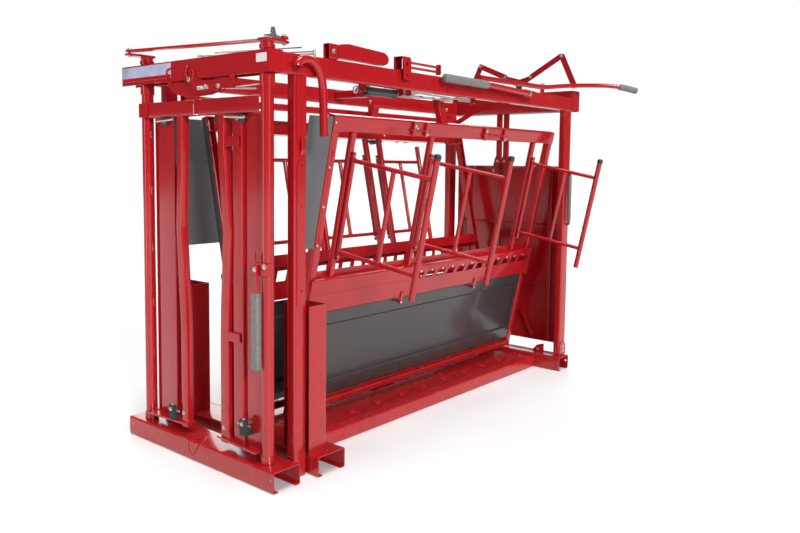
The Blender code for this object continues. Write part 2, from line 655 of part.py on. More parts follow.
node("shoulder_sheet_near", shoulder_sheet(0.345, PANEL_ST[0] - 0.0006), "grip")
node("shoulder_sheet_far", shoulder_sheet(0.140, FAR_PANEL_X0 - 0.0006).mirrored(), "grip")


# ------------------------------------------------------------------ access gates
def access_gate(xh, sign, phi):
    """Three-tube gate hung at xh; closed it lies towards sign*X, phi is how far it is open."""
    s = Shape()
    a = radians(phi)
    d = Vector((sign, 0, 0)) * cos(a) + OUT * sin(a)

    def G(w, sk):
        return S(xh, sk, 0.012) + d * w
    sa, sb = GATE_S
    s.tube([G(0, sa - 0.020), G(0, sb + 0.020)], 0.0125, 10)
    s.tube([G(GATE_W, 0.112), G(GATE_W, 0.872)], 0.0165, 12)
    s.tube([G(GATE_W * 0.52, sa), G(GATE_W * 0.52, sb)], 0.0125, 10)
    s.tube([G(0.002, sa), G(GATE_W, sa)], 0.0120, 10)
    s.tube([G(0.002, sb), G(GATE_W, sb)], 0.0120, 10)
    return s


NEAR_GATES = ((BAR_NEAR[0], 1, 76), (BAR_NEAR[1], 1, 71), (BAR_NEAR[2], -1, 100))
FAR_GATES = ((BAR_FAR[0], 1, 0), (BAR_FAR[1], -1, 0), (BAR_FAR[2], 1, 0))
for i, g in enumerate(NEAR_GATES, 1):
    node("access_gate_near_%d" % i, access_gate(*g), "red")
for i, g in enumerate(FAR_GATES, 1):
    node("access_gate_far_%d" % i, access_gate(*g).mirrored(), "red")

# ------------------------------------------------------------------ squeeze lever
BR = (0.905, 0.971)
br = Shape().rect_pipe(BR[0], BR[1], -0.018, 0.047, RAIL_Z1 + GAP, 2.073, "x")
br.box(BR[0] + .001, BR[1] - .001, -0.0178, -0.0008, 1.950, 2.004)
for z in (2.024, 2.050):
    br.tube([W(0.940, 0.014, z), W(1.275, 0.014, z)], 0.0075, 10)
br.box(1.256, 1.266, -0.002, 0.030, 2.006, 2.068)
br.box(0.962, 0.9705, -0.010, 0.040, 2.0045, 2.0690)
node("lever_bracket", br, "red")

LEVER_Y = -0.052
SQ_PIVOT = (2.170, 1.972)
sq = Shape().tube([W(1.245, LEVER_Y, 1.986), W(1.70, LEVER_Y, 1.984), W(2.235, LEVER_Y, 1.968)], 0.0185, 14, 0.0150)
sq.tube([W(SQ_PIVOT[0], LEVER_Y + 0.012, SQ_PIVOT[1]), W(SQ_PIVOT[0], -GAP, SQ_PIVOT[1])], 0.012, 12)
node("squeeze_lever", sq, "red")
node("squeeze_lever_grip", Shape().tube([W(1.236, LEVER_Y, 1.9863), W(1.664, LEVER_Y, 1.98415)], 0.0245, 14, 0.0190), "grip")

# handle block with a rounded paddle, on the near rail close to the head
pl = Shape().box(0.372, 0.4375, -0.0022, 0.0402, RAIL_Z1 + GAP, 2.0745)
pl.prism([(0.4365, 2.008), (0.770, 2.008), (0.800, 2.022), (0.808, 2.040), (0.800, 2.058), (0.770, 2.072), (0.505, 2.084), (0.4365, 2.074)],
                   lambda x, z: W(x, -0.006, z), lambda x, z: W(x, 0.026, z))
node("rope_paddle", pl, "red")

# friction lock under the near rail
FL_Z = 1.884
fl = Shape().tube([W(0.735, 0.098, FL_Z), W(0.975, 0.098, FL_Z)], 0.025, 16)
fl.tube([W(0.660, 0.098, FL_Z), W(1.200, 0.098, FL_Z)], 0.008, 10)
for x in (0.690, 0.990):
    fl.box(x, x + 0.007, RAIL_D + GAP, 0.112, FL_Z - 0.014, 1.940)
node("friction_lock", fl, "dark")

# ------------------------------------------------------------------ tailgate
TG = (2.900, 2.906)


def tail_half(y0, y1, hy, stile):
    """Sheet with folded edges, hung from a tube with a trolley head."""
    s = Shape()
    s.box(TG[0], TG[1], y0, y1, 0.165, 1.500)
    for ya, yb in ((y0, y0 + 0.006), (y1 - 0.006, y1)):
        s.box(TG[0] - 0.020, TG[1] - .0005, ya, yb, 0.1655, 1.4995)
    s.box(TG[0] - 0.0205, TG[0] + .001, stile, stile + 0.038, 0.1660, 1.4990)
    s.box(TG[0] - 0.0195, TG[1] - .001, y0 + .001, y1 - .001, 1.488, 1.4985)
    s.box(TG[0] - 0.0195, TG[1] - .001, y0 + .001, y1 - .001, 0.168, 0.178)
    s.rect_pipe(TG[0] + 0.0045, TG[0] + 0.0340, hy - 0.020, hy + 0.020, 1.300, 1.930, "z", 0.003)
    s.box(TG[0] + 0.002, TG[0] + 0.037, hy - 0.030, hy + 0.030, 1.926, 1.960)
    return s


node("tailgate_near", tail_half(0.062, 0.612, 0.585, 0.148), "red")
node("tailgate_far", tail_half(0.618, 1.012, 0.648, 0.889), "red")

TL_PIVOT = (2.466, 0.022)
LEVER_PTS = [(1.690, 0.022, 2.036), (2.100, 0.022, 2.040), (2.466, 0.022, 2.044), (2.640, -0.004, 2.062), (2.800, -0.050, 2.078),
             (2.930, -0.118, 2.086), (3.030, -0.196, 2.088), (3.110, -0.275, 2.078), (3.180, -0.350, 2.056)]


def smooth(points, per=3):
    pts = [Vector(p) for p in points]
    out = []
    for i in range(len(pts) - 1):
        p0 = pts[max(i - 1, 0)]
        p1, p2 = pts[i], pts[i + 1]
        p3 = pts[min(i + 2, len(pts) - 1)]
        for k in range(per):
            t = k / per
            out.append(0.5 * ((2 * p1) + (p2 - p0) * t + (2 * p0 - 5 * p1 + 4 * p2 - p3) * t * t + (3 * p1 - p0 - 3 * p2 + p3) * t ** 3))
    out.append(pts[-1])
    return out


lev = smooth(LEVER_PTS, 2)
cutoff = [p for p in lev if p.x <= 3.095]
tl = Shape().tube([W(*p) for p in lev], 0.0175, 12)
tl.tube([W(*TL_PIVOT, 2.044), W(*TL_PIVOT, RAIL_Z1 + GAP)], 0.014, 12)
node("tailgate_lever", tl, "red")
tip = [p for p in lev if p.x >= 3.085]
d_end = (tip[-1] - tip[-2]).normalized()
tip = tip + [tip[-1] + d_end * 0.012]
node("tailgate_lever_grip", Shape().tube([W(*p) for p in tip], 0.0235, 14, 0.0182), "grip")

# overhead linkage of the tailgate: two cranks, two links and a centre rocker

def link(s, p, q, x0, x1, w=0.034, over=0.014):
    """Flat bar on edge between two (yy, z) points."""
    p, q = Vector(p), Vector(q)
    d = (q - p).normalized()
    n = Vector((-d.y, d.x)) * w / 2
    p, q = p - d * over, q + d * over
    c = d * (w * 0.25)
    pts = [p + n, p - c + n * 0.4, p - c - n * 0.4, p - n, q - n, q + c - n * 0.4, q + c + n * 0.4, q + n]
    return s.prism([(a.x, a.y) for a in pts], *along_x(x0, x1))


NEAR_BASE, NEAR_APEX, NEAR_ROCK = (0.022, 2.090), (0.130, 2.318), (0.385, 2.178)
FAR_BASE, FAR_APEX, FAR_ROCK = (0.950, 2.090), (0.850, 2.292), (0.610, 2.190)
rk = Shape().prism([(NEAR_ROCK[0] - .02, NEAR_ROCK[1] + .016), (NEAR_ROCK[0] - .02, NEAR_ROCK[1] - .016), (RK[0], RK[1] - .028), (FAR_ROCK[0] + .02, FAR_ROCK[1] - .016),
                    (FAR_ROCK[0] + .02, FAR_ROCK[1] + .016), (RK[0], RK[1] + .040)], *along_x(LX - 0.004, LX + 0.002))
for q in (NEAR_ROCK, FAR_ROCK):
    rk.tube([W(LX - .002, *q), W(LX + 0.0036, *q)], 0.009, 10)
rkh = Shape()
rkh.tube([W(LX - 0.03, *RK), W(LX + 0.03, *RK)], 0.0095, 12)
node("tailgate_rocker", rk, "red", rkh)
for nm, base, apex, rock in (("near", NEAR_BASE, NEAR_APEX, NEAR_ROCK), ("far", FAR_BASE, FAR_APEX, FAR_ROCK)):
    cr = link(Shape(), base, apex, LX + 0.014, LX + 0.022, 0.044)
    cr.tube([W(LX + 0.0035, *apex), W(LX + 0.018, *apex)], 0.007, 10)
    cr.tube([W(LX + 0.018, *base), W(LX + 0.046, *base)], 0.009, 10)
    node("tailgate_crank_%s" % nm, cr, "red")
    hol = Shape().tube([W(LX - 0.01, *apex), W(LX + 0.03, *apex)], 0.0085, 12)
    ln = link(Shape(), apex, rock, LX + 0.0045, LX + 0.0115, 0.042, 0.012)
    ln.tube([W(LX + .008, *rock), W(LX + 0.0135, *rock)], 0.009, 6)
    node("tailgate_link_%s" % nm, ln, "red", hol)

# soft sleeve on the near tail post's hand bar
hb = Shape().tube([W(2.834, -0.020, 1.060), W(2.834, -0.020, 1.470)], 0.0125, 12)
for z in (1.075, 1.455):
    hb.tube([W(2.834, -0.020, z), W(2.834, -GAP, z)], 0.008, 10)
node("tail_hand_bar", hb, "red")
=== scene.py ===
"""Looks of the cattle squeeze chute: folded and welded steel in gloss enamel,
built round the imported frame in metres."""
import bpy
import bmesh
from math import cos, sin, tan, radians, pi, acos, sqrt
from mathutils import Vector, Matrix


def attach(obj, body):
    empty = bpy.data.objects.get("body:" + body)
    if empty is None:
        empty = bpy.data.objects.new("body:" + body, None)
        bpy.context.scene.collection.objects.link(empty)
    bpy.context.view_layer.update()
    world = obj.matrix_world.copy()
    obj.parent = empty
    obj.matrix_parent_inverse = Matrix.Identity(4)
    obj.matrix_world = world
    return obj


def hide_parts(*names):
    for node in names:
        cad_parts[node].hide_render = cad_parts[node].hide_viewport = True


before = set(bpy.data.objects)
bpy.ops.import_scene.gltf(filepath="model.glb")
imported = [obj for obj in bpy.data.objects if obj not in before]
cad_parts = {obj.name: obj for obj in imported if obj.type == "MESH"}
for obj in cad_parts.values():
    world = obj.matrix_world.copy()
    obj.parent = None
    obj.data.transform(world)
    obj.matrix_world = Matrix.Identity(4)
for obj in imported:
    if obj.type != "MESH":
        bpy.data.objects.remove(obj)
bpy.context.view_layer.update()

SCN = bpy.context.scene

MID, HALF = 1.500, 0.5375
WIDTH = 2 * HALF


def W(st, yy, z):
    return Vector((st - MID, yy - HALF, z))


# ====================================================================== materials
def _mat(name):
    m = bpy.data.materials.new(name)
    m.use_nodes = True
    nt = m.node_tree
    return m, nt, nt.nodes["Principled BSDF"]


def _noise(nt, coord, scale, detail=3.0, rough=0.5):
    n = nt.nodes.new("ShaderNodeTexNoise")
    n.inputs["Scale"].default_value = scale
    n.inputs["Detail"].default_value = detail
    n.inputs["Roughness"].default_value = rough
    nt.links.new(coord, n.inputs["Vector"])
    return n.outputs["Fac"]


def _ramp(nt, fac, stops):
    r = nt.nodes.new("ShaderNodeValToRGB")
    e = r.color_ramp.elements
    while len(e) < len(stops):
        e.new(0.5)
    for el, (p, c) in zip(e, stops):
        el.position = p
        el.color = c if len(c) == 4 else (*c, 1)
    nt.links.new(fac, r.inputs["Fac"])
    return r.outputs["Color"]


def _mixc(nt, a, b, fac):
    m = nt.nodes.new("ShaderNodeMix")
    m.data_type = "RGBA"
    for sock, v in ((m.inputs[0], fac), (m.inputs[6], a), (m.inputs[7], b)):
        if hasattr(v, "is_output"):
            nt.links.new(v, sock)
        else:
            sock.default_value = v
    return m.outputs[2]


def _bump(nt, bsdf, height, strength, dist):
    b = nt.nodes.new("ShaderNodeBump")
    b.inputs["Strength"].default_value = strength
    b.inputs["Distance"].default_value = dist
    nt.links.new(height, b.inputs["Height"])
    nt.links.new(b.outputs["Normal"], bsdf.inputs["Normal"])
    return b


def enamel(name, base, deep, rough=(0.20, 0.32), coat=0.50, dust=0.10, dust_c=(0.42, 0.24, 0.20, 1)):
    """Sprayed enamel: slow tone drift, orange peel, fine scuffs and a little yard dust low down."""
    m, nt, b = _mat(name)
    tc = nt.nodes.new("ShaderNodeTexCoord").outputs["Object"]
    big = _noise(nt, tc, 2.2, 4.0, 0.55)
    col = _ramp(nt, big, [(0.25, deep), (0.80, base)])
    # scuffs: thin, stretched, sparse
    mp = nt.nodes.new("ShaderNodeMapping")
    mp.inputs["Scale"].default_value = (14.0, 14.0, 3.0)
    nt.links.new(tc, mp.inputs["Vector"])
    sc = _noise(nt, mp.outputs["Vector"], 9.0, 8.0, 0.72)
    scm = _ramp(nt, sc, [(0.66, (0, 0, 0)), (0.74, (1, 1, 1))])
    lite = tuple(min(1.0, c * 1.5 + 0.02) for c in base[:3]) + (1,)
    f = nt.nodes.new("ShaderNodeMath"); f.operation = "MULTIPLY"; f.inputs[1].default_value = 0.07
    nt.links.new(scm, f.inputs[0])
    col = _mixc(nt, col, lite, f.outputs[0])
    # dust that thickens towards the ground
    sep = nt.nodes.new("ShaderNodeSeparateXYZ")
    nt.links.new(tc, sep.inputs[0])
    mr = nt.nodes.new("ShaderNodeMapRange")
    mr.inputs["From Min"].default_value = 0.60
    mr.inputs["From Max"].default_value = 0.0
    nt.links.new(sep.outputs["Z"], mr.inputs["Value"])
    dn = _noise(nt, tc, 26.0, 6.0, 0.6)
    dr = _ramp(nt, dn, [(0.42, (0, 0, 0)), (0.80, (1, 1, 1))])
    dm = nt.nodes.new("ShaderNodeMath"); dm.operation = "MULTIPLY"
    nt.links.new(mr.outputs[0], dm.inputs[0]); nt.links.new(dr, dm.inputs[1])
    dm2 = nt.nodes.new("ShaderNodeMath"); dm2.operation = "MULTIPLY"; dm2.inputs[1].default_value = dust
    nt.links.new(dm.outputs[0], dm2.inputs[0])
    col = _mixc(nt, col, dust_c, dm2.outputs[0])
    nt.links.new(col, b.inputs["Base Color"])
    rn = _noise(nt, tc, 11.0, 5.0, 0.6)
    rr = nt.nodes.new("ShaderNodeMapRange")
    rr.inputs["To Min"].default_value = rough[0]
    rr.inputs["To Max"].default_value = rough[1]
    nt.links.new(rn, rr.inputs["Value"])
    ra = nt.nodes.new("ShaderNodeMath"); ra.operation = "ADD"
    nt.links.new(rr.outputs[0], ra.inputs[0]); nt.links.new(dm2.outputs[0], ra.inputs[1])
    nt.links.new(ra.outputs[0], b.inputs["Roughness"])
    peel = _noise(nt, tc, 210.0, 2.0, 0.5)
    _bump(nt, b, peel, 0.10, 0.0006)
    b.inputs["Coat Weight"].default_value = coat
    b.inputs["Coat Roughness"].default_value = 0.07
    b.inputs["Specular IOR Level"].default_value = 0.5
    return m


def vinyl():
    m, nt, b = _mat("vinyl_grip")
    tc = nt.nodes.new("ShaderNodeTexCoord").outputs["Object"]
    n = _noise(nt, tc, 60.0, 6.0, 0.6)
    nt.links.new(_ramp(nt, n, [(0.3, (0.125, 0.118, 0.112)), (0.7, (0.185, 0.175, 0.165))]), b.inputs["Base Color"])
    b.inputs["Roughness"].default_value = 0.62
    _bump(nt, b, _noise(nt, tc, 420.0, 4.0, 0.6), 0.35, 0.0006)
    b.inputs["Sheen Weight"].default_value = 0.15
    return m


def rubber():
    m, nt, b = _mat("rubber_black")
    tc = nt.nodes.new("ShaderNodeTexCoord").outputs["Object"]
    n = _noise(nt, tc, 45.0, 5.0, 0.6)
    nt.links.new(_ramp(nt, n, [(0.3, (0.012, 0.012, 0.012)), (0.75, (0.035, 0.034, 0.032))]), b.inputs["Base Color"])
    b.inputs["Roughness"].default_value = 0.75
    _bump(nt, b, _noise(nt, tc, 300.0, 3.0), 0.3, 0.0006)
    return m


def plastic():
    m, nt, b = _mat("cap_plastic")
    tc = nt.nodes.new("ShaderNodeTexCoord").outputs["Object"]
    n = _noise(nt, tc, 80.0, 4.0)
    nt.links.new(_ramp(nt, n, [(0.3, (0.014, 0.014, 0.015)), (0.7, (0.030, 0.030, 0.032))]), b.inputs["Base Color"])
    b.inputs["Roughness"].default_value = 0.42
    _bump(nt, b, _noise(nt, tc, 500.0, 2.0), 0.2, 0.0004)
    return m


def zinc():
    m, nt, b = _mat("zinc_plate")
    tc = nt.nodes.new("ShaderNodeTexCoord").outputs["Object"]
    n = _noise(nt, tc, 55.0, 5.0, 0.65)
    nt.links.new(_ramp(nt, n, [(0.25, (0.46, 0.45, 0.42)), (0.75, (0.72, 0.71, 0.68))]), b.inputs["Base Color"])
    b.inputs["Metallic"].default_value = 1.0
    rr = nt.nodes.new("ShaderNodeMapRange")
    rr.inputs["To Min"].default_value = 0.22
    rr.inputs["To Max"].default_value = 0.42
    nt.links.new(n, rr.inputs["Value"])
    nt.links.new(rr.outputs[0], b.inputs["Roughness"])
    _bump(nt, b, _noise(nt, tc, 350.0, 3.0), 0.2, 0.0004)
    return m


def label(name, a, c):
    m, nt, b = _mat(name)
    tc = nt.nodes.new("ShaderNodeTexCoord").outputs["Object"]
    n = _noise(nt, tc, 6.0, 3.0)
    nt.links.new(_ramp(nt, n, [(0.35, a), (0.65, c)]), b.inputs["Base Color"])
    b.inputs["Roughness"].default_value = 0.35
    _bump(nt, b, _noise(nt, tc, 300.0, 2.0), 0.05, 0.0003)
    return m


RED = enamel("red_enamel", (0.40, 0.007, 0.011, 1), (0.34, 0.005, 0.009, 1), (0.13, 0.22), coat=0.18)
BLACK = enamel("black_enamel", (0.040, 0.037, 0.037, 1), (0.026, 0.024, 0.025, 1), (0.24, 0.36), 0.35, 0.20, (0.16, 0.13, 0.11, 1))
GREY = enamel("grey_enamel", (0.105, 0.105, 0.110, 1), (0.085, 0.085, 0.090, 1), (0.34, 0.46), 0.10, 0.0)
VINYL, RUBBER, CAP, ZINC = vinyl(), rubber(), plastic(), zinc()
WHITE = label("label_white", (0.70, 0.62, 0.62, 1), (0.80, 0.74, 0.74, 1))
BLUE = label("label_blue", (0.30, 0.33, 0.52, 1), (0.55, 0.55, 0.68, 1))


# ====================================================================== mesh kit
def fillet2(pts, r, n=4, closed=False):
    """Round the corners of a 2-D outline or line."""
    pts = [Vector(p) for p in pts]
    m = len(pts)
    out = []
    for i, p in enumerate(pts):
        if not closed and i in (0, m - 1):
            out.append(p)
            continue
        a, c = pts[i - 1], pts[(i + 1) % m]
        u, v = (a - p), (c - p)
        lu, lv = u.length, v.length
        if lu < 1e-7 or lv < 1e-7:
            out.append(p)
            continue
        u, v = u / lu, v / lv
        ang = acos(max(-1, min(1, u.dot(v))))
        rr = r[i] if isinstance(r, (list, tuple)) else r
        if abs(pi - ang) < 0.05 or rr <= 0:
            out.append(p)
            continue
        d = min(rr / tan(ang / 2), 0.47 * lu, 0.47 * lv)
        k = d * tan(ang / 2)
        ctr = p + (u + v).normalized() * (k / sin(ang / 2))
        s, e = p + u * d, p + v * d
        a0, a1 = s - ctr, e - ctr
        tot = acos(max(-1, min(1, a0.normalized().dot(a1.normalized()))))
        for j in range(n + 1):
            t = j / n
            w0 = sin((1 - t) * tot) / sin(tot)
            w1 = sin(t * tot) / sin(tot)
            out.append(ctr + a0 * w0 + a1 * w1)
    return out


def sheet_outline(line, t, r, n=4):
    """Outline of a folded sheet, from its centre line."""
    c = fillet2(line, r, n)
    L, R = [], []
    for i, p in enumerate(c):
        if i == 0:
            d = (c[1] - p).normalized(); k = 1
        elif i == len(c) - 1:
            d = (p - c[i - 1]).normalized(); k = 1
        else:
            a, b = (p - c[i - 1]).normalized(), (c[i + 1] - p).normalized()
            d = (a + b).normalized(); k = 1 / max(0.4, d.dot(b))
        nn = Vector((-d.y, d.x)) * (t / 2 * k)
        L.append(p + nn)
        R.append(p - nn)
    return L + R[::-1]


def fillet3(path, r, n=6):
    pts = [Vector(p) for p in path]
    out = [pts[0]]
    for i in range(1, len(pts) - 1):
        p = pts[i]
        u, v = pts[i - 1] - p, pts[i + 1] - p
        lu, lv = u.length, v.length
        u, v = u / lu, v / lv
        ang = acos(max(-1, min(1, u.dot(v))))
        if abs(pi - ang) < 0.02:
            out.append(p)
            continue
        d = min(r / tan(ang / 2), 0.48 * lu, 0.48 * lv)
        k = d * tan(ang / 2)
        ctr = p + (u + v).normalized() * (k / sin(ang / 2))
        a0, a1 = p + u * d - ctr, p + v * d - ctr
        tot = acos(max(-1, min(1, a0.normalized().dot(a1.normalized()))))
        for j in range(n + 1):
            t = j / n
            out.append(ctr + a0 * (sin((1 - t) * tot) / sin(tot)) + a1 * (sin(t * tot) / sin(tot)))
    out.append(pts[-1])
    return out


def smooth_path(points, per=6):
    pts = [Vector(p) for p in points]
    out = []
    for i in range(len(pts) - 1):
        p0, p1, p2, p3 = pts[max(i - 1, 0)], pts[i], pts[i + 1], pts[min(i + 2, len(pts) - 1)]
        for k in range(per):
            t = k / per
            out.append(0.5 * ((2 * p1) + (p2 - p0) * t + (2 * p0 - 5 * p1 + 4 * p2 - p3) * t * t + (3 * p1 - p0 - 3 * p2 + p3) * t ** 3))
    out.append(pts[-1])
    return out


class K:
    """A kit of closed shells that make one piece."""

    def __init__(self):
        self.s = []

    def add(self, v, f):
        self.s.append(([Vector(p) for p in v], f))
        return self

    def join(self, other):
        self.s += other.s
        return self

    def mirror(self):
        o = K()
        for v, f in self.s:
            o.add([Vector((p.x, -p.y, p.z)) for p in v], [list(g)[::-1] for g in f])
        return o

    def prism(self, prof, m0, m1):
        n = len(prof)
        v = [m0(*p) for p in prof] + [m1(*p) for p in prof]
        f = [list(range(n))[::-1], list(range(n, 2 * n))]
        f += [[i, (i + 1) % n, n + (i + 1) % n, n + i] for i in range(n)]
        return self.add(v, f)

    def fold(self, line, t, r, m0, m1, n=4):
        return self.prism(sheet_outline(line, t, r, n), m0, m1)

    def plate(self, outline, r, m0, m1, n=4):
        return self.prism(fillet2(outline, r, n, True), m0, m1)

    def box(self, x0, x1, y0, y1, z0, z1):
        return self.prism([(x0, y0), (x1, y0), (x1, y1), (x0, y1)], lambda a, b: W(a, b, z0), lambda a, b: W(a, b, z1))

    def sweep(self, sec, path, side, inner=None):
        """Sweep a section of (across, along-side) points; side is the fixed sideways vector."""
        path = [Vector(p) for p in path]
        side = Vector(side).normalized()
        n = len(path)
        loops = [sec] + ([inner] if inner else [])
        rings = [[], []]
        for i in range(n):
            if i == 0:
                t = (path[1] - path[0]).normalized(); k = 1
            elif i == n - 1:
                t = (path[-1] - path[-2]).normalized(); k = 1
            else:
                a, b = (path[i] - path[i - 1]).normalized(), (path[i + 1] - path[i]).normalized()
                t = (a + b).normalized(); k = 1 / max(0.4, t.dot(b))
            sd = (side - t * side.dot(t)).normalized()
            nr = t.cross(sd).normalized()
            for q, sc in enumerate(loops):
                rings[q].append([path[i] + nr * (p[0] * k) + sd * p[1] for p in sc])
        m = len(sec)
        v, f = [], []
        for r in rings[0]:
            v += r
        for i in range(n - 1):
            for a in range(m):
                b = (a + 1) % m
                f.append([i * m + a, i * m + b, (i + 1) * m + b, (i + 1) * m + a])
        if not inner:
            f.append(list(range(m))[::-1])
            f.append([(n - 1) * m + a for a in range(m)])
        else:
            o = len(v)
            for r in rings[1]:
                v += r
            for i in range(n - 1):
                for a in range(m):
                    b = (a + 1) % m
                    f.append([o + i * m + b, o + i * m + a, o + (i + 1) * m + a, o + (i + 1) * m + b])
            e = (n - 1) * m
            for a in range(m):
                b = (a + 1) % m
                f.append([b, a, o + a, o + b])
                f.append([e + a, e + b, o + e + b, o + e + a])
        return self.add(v, f)

    def rtube(self, x0, x1, y0, y1, z0, z1, along, t=0.004, r=0.007, steps=1):
        lo, hi = (x0, y0, z0), (x1, y1, z1)
        k = "xyz".index(along)
        a, b = [i for i in range(3) if i != k]
        ca, cb = (lo[a] + hi[a]) / 2, (lo[b] + hi[b]) / 2
        wa, wb = (hi[a] - lo[a]) / 2, (hi[b] - lo[b]) / 2

        def loop(ins):
            rr = max(r - ins, 0.0015)
            return fillet2([(-wa + ins, -wb + ins), (wa - ins, -wb + ins), (wa - ins, wb - ins), (-wa + ins, wb - ins)], rr, 4, True)
        rings = []
        for end in (lo[k], hi[k]):
            for lp in (loop(0), loop(t)):
                ring = []
                for p in lp:
                    q = [0, 0, 0]
                    q[k], q[a], q[b] = end, ca + p.x, cb + p.y
                    ring.append(W(*q))
                rings.append(ring)
        m = len(rings[0])
        v = [p for ring in rings for p in ring]
        f = []
        for i in range(m):
            j = (i + 1) % m
            f.append([i, j, 2 * m + j, 2 * m + i])
            f.append([m + j, m + i, 3 * m + i, 3 * m + j])
            f.append([j, i, m + i, m + j])
            f.append([2 * m + i, 2 * m + j, 3 * m + j, 3 * m + i])
        return self.add(v, f)

    def pipe(self, path, r, sides=24, ri=0.0, dome=False):
        path = [Vector(p) for p in path]
        n = len(path)
        t0 = (path[1] - path[0]).normalized()
        ref = Vector((0, 0, 1)) if abs(t0.z) < 0.9 else Vector((1, 0, 0))
        u = t0.cross(ref).normalized()
        radii = [r] * n
        if dome:
            def capped(p0, p1):
                d = (p0 - p1).normalized()
                return [(p0 + d * (r * 0.55 * sin(a)), r * cos(a)) for a in (0.35, 0.75, 1.15, 1.45)]
            head = capped(path[0], path[1])[::-1]
            tail = capped(path[-1], path[-2])
            path = [h[0] for h in head] + path + [h[0] for h in tail]
            radii = [h[1] for h in head] + radii + [h[1] for h in tail]
            n = len(path)
        pt = (path[1] - path[0]).normalized()
        outer, inner = [], []
        for i, p in enumerate(path):
            if i == 0:
                t = (path[1] - path[0]).normalized()
            elif i == n - 1:
                t = (path[-1] - path[-2]).normalized()
            else:
                t = ((path[i] - path[i - 1]).normalized() + (path[i + 1] - path[i]).normalized()).normalized()
            u = pt.rotation_difference(t) @ u
            u = (u - t * u.dot(t)).normalized()
            pt = t
            w = t.cross(u)
            outer.append([p + (u * cos(2 * pi * a / sides) + w * sin(2 * pi * a / sides)) * radii[i] for a in range(sides)])
            if ri > 0:
                inner.append([p + (u * cos(2 * pi * a / sides) + w * sin(2 * pi * a / sides)) * ri for a in range(sides)])
        v, f = [], []
        for ring in outer:
            v += ring
        for i in range(n - 1):
            for a in range(sides):
                b = (a + 1) % sides
                f.append([i * sides + a, i * sides + b, (i + 1) * sides + b, (i + 1) * sides + a])
        e = (n - 1) * sides
        if ri <= 0:
            f.append(list(range(sides))[::-1])
            f.append([e + a for a in range(sides)])
        else:
            o = len(v)
            for ring in inner:
                v += ring
            for i in range(n - 1):
                for a in range(sides):
                    b = (a + 1) % sides
                    f.append([o + i * sides + b, o + i * sides + a, o + (i + 1) * sides + a, o + (i + 1) * sides + b])
            for a in range(sides):
                b = (a + 1) % sides
                f.append([b, a, o + a, o + b])
                f.append([e + a, e + b, o + e + b, o + e + a])
        return self.add(v, f)

    def bead(self, path, r=0.0032, closed=False, sides=8):
        """Weld bead with ripples."""
        path = [Vector(p) for p in path]
        fine = []
        m = len(path) if closed else len(path) - 1
        for i in range(m):
            a, b = path[i], path[(i + 1) % len(path)]
            k = max(1, int((b - a).length / 0.0035))
            for j in range(k):
                fine.append(a.lerp(b, j / k))
        if closed:
            fine.append(path[0].lerp(path[1], 0.02))
        else:
            fine.append(path[-1])
        n = len(fine)
        if n < 2:
            return self
        v, f = [], []
        t = (fine[1] - fine[0]).normalized()
        u = t.orthogonal().normalized()
        for i, p in enumerate(fine):
            tn = (fine[min(i + 1, n - 1)] - fine[max(i - 1, 0)]).normalized()
            u = (u - tn * u.dot(tn)).normalized()
            w = tn.cross(u)
            end = 0.35 if (not closed and i in (0, n - 1)) else 1.0
            rr = r * end * (1.0 + (0.16 if i % 2 else -0.10) + 0.10 * sin(i * 1.7))
            v += [p + (u * cos(2 * pi * a / sides) + w * sin(2 * pi * a / sides)) * rr for a in range(sides)]
        for i in range(n - 1):
            for a in range(sides):
                b = (a + 1) % sides
                f.append([i * sides + a, i * sides + b, (i + 1) * sides + b, (i + 1) * sides + a])
        f.append(list(range(sides))[::-1])
        f.append([(n - 1) * sides + a for a in range(sides)])
        return self.add(v, f)

    def ring_bead(self, c, axis, R, r=0.003):
        axis = Vector(axis).normalized()
        u = axis.orthogonal().normalized()
        w = axis.cross(u)
        c = Vector(c)
        return self.bead([c + (u * cos(2 * pi * i / 28) + w * sin(2 * pi * i / 28)) * R for i in range(28)], r, True)

    def hexhead(self, p, axis, r=0.009, h=0.007, washer=True, stud=0.0):
        """Hex head with a chamfer, on a washer; p is on the surface, axis points out."""
        p, axis = Vector(p), Vector(axis).normalized()
        u = axis.orthogonal().normalized()
        w = axis.cross(u)

        def ring(rad, off, n=6):
            return [p + axis * off + (u * cos(2 * pi * i / n) + w * sin(2 * pi * i / n)) * rad for i in range(n)]
        b = 0.0
        if washer:
            v = ring(r * 1.45, 0.0, 20) + ring(r * 1.45, 0.0012, 20) + ring(r * 1.38, 0.0017, 20)
            f = [list(range(20))[::-1], list(range(40, 60))]
            for q in (0, 20):
                f += [[q + i, q + (i + 1) % 20, q + 20 + (i + 1) % 20, q + 20 + i] for i in range(20)]
            self.add(v, f)
            b = 0.0017
        v = ring(r, b) + ring(r, b + h * 0.82) + ring(r * 0.86, b + h)
        f = [list(range(6))[::-1], list(range(12, 18))]
        for q in (0, 6):
            f += [[q + i, q + (i + 1) % 6, q + 6 + (i + 1) % 6, q + 6 + i] for i in range(6)]
        self.add(v, f)
        if stud > 0:
            self.pipe([p + axis * b, p + axis * (b + h + stud)], r * 0.5, 14)
        return self


# ====================================================================== pieces
DONE = []


def mesh_of(name, shells):
    me = bpy.data.meshes.new(name)
    v, f = [], []
    for sv, sf in shells:
        o = len(v)
        v += [tuple(p) for p in sv]
        f += [[i + o for i in g] for g in sf]
    me.from_pydata(v, [], f)
    bm = bmesh.new()
    bm.from_mesh(me)
    bmesh.ops.remove_doubles(bm, verts=bm.verts, dist=1e-7)
    bmesh.ops.recalc_face_normals(bm, faces=bm.faces)
    bm.to_mesh(me)
    bm.free()
    return me


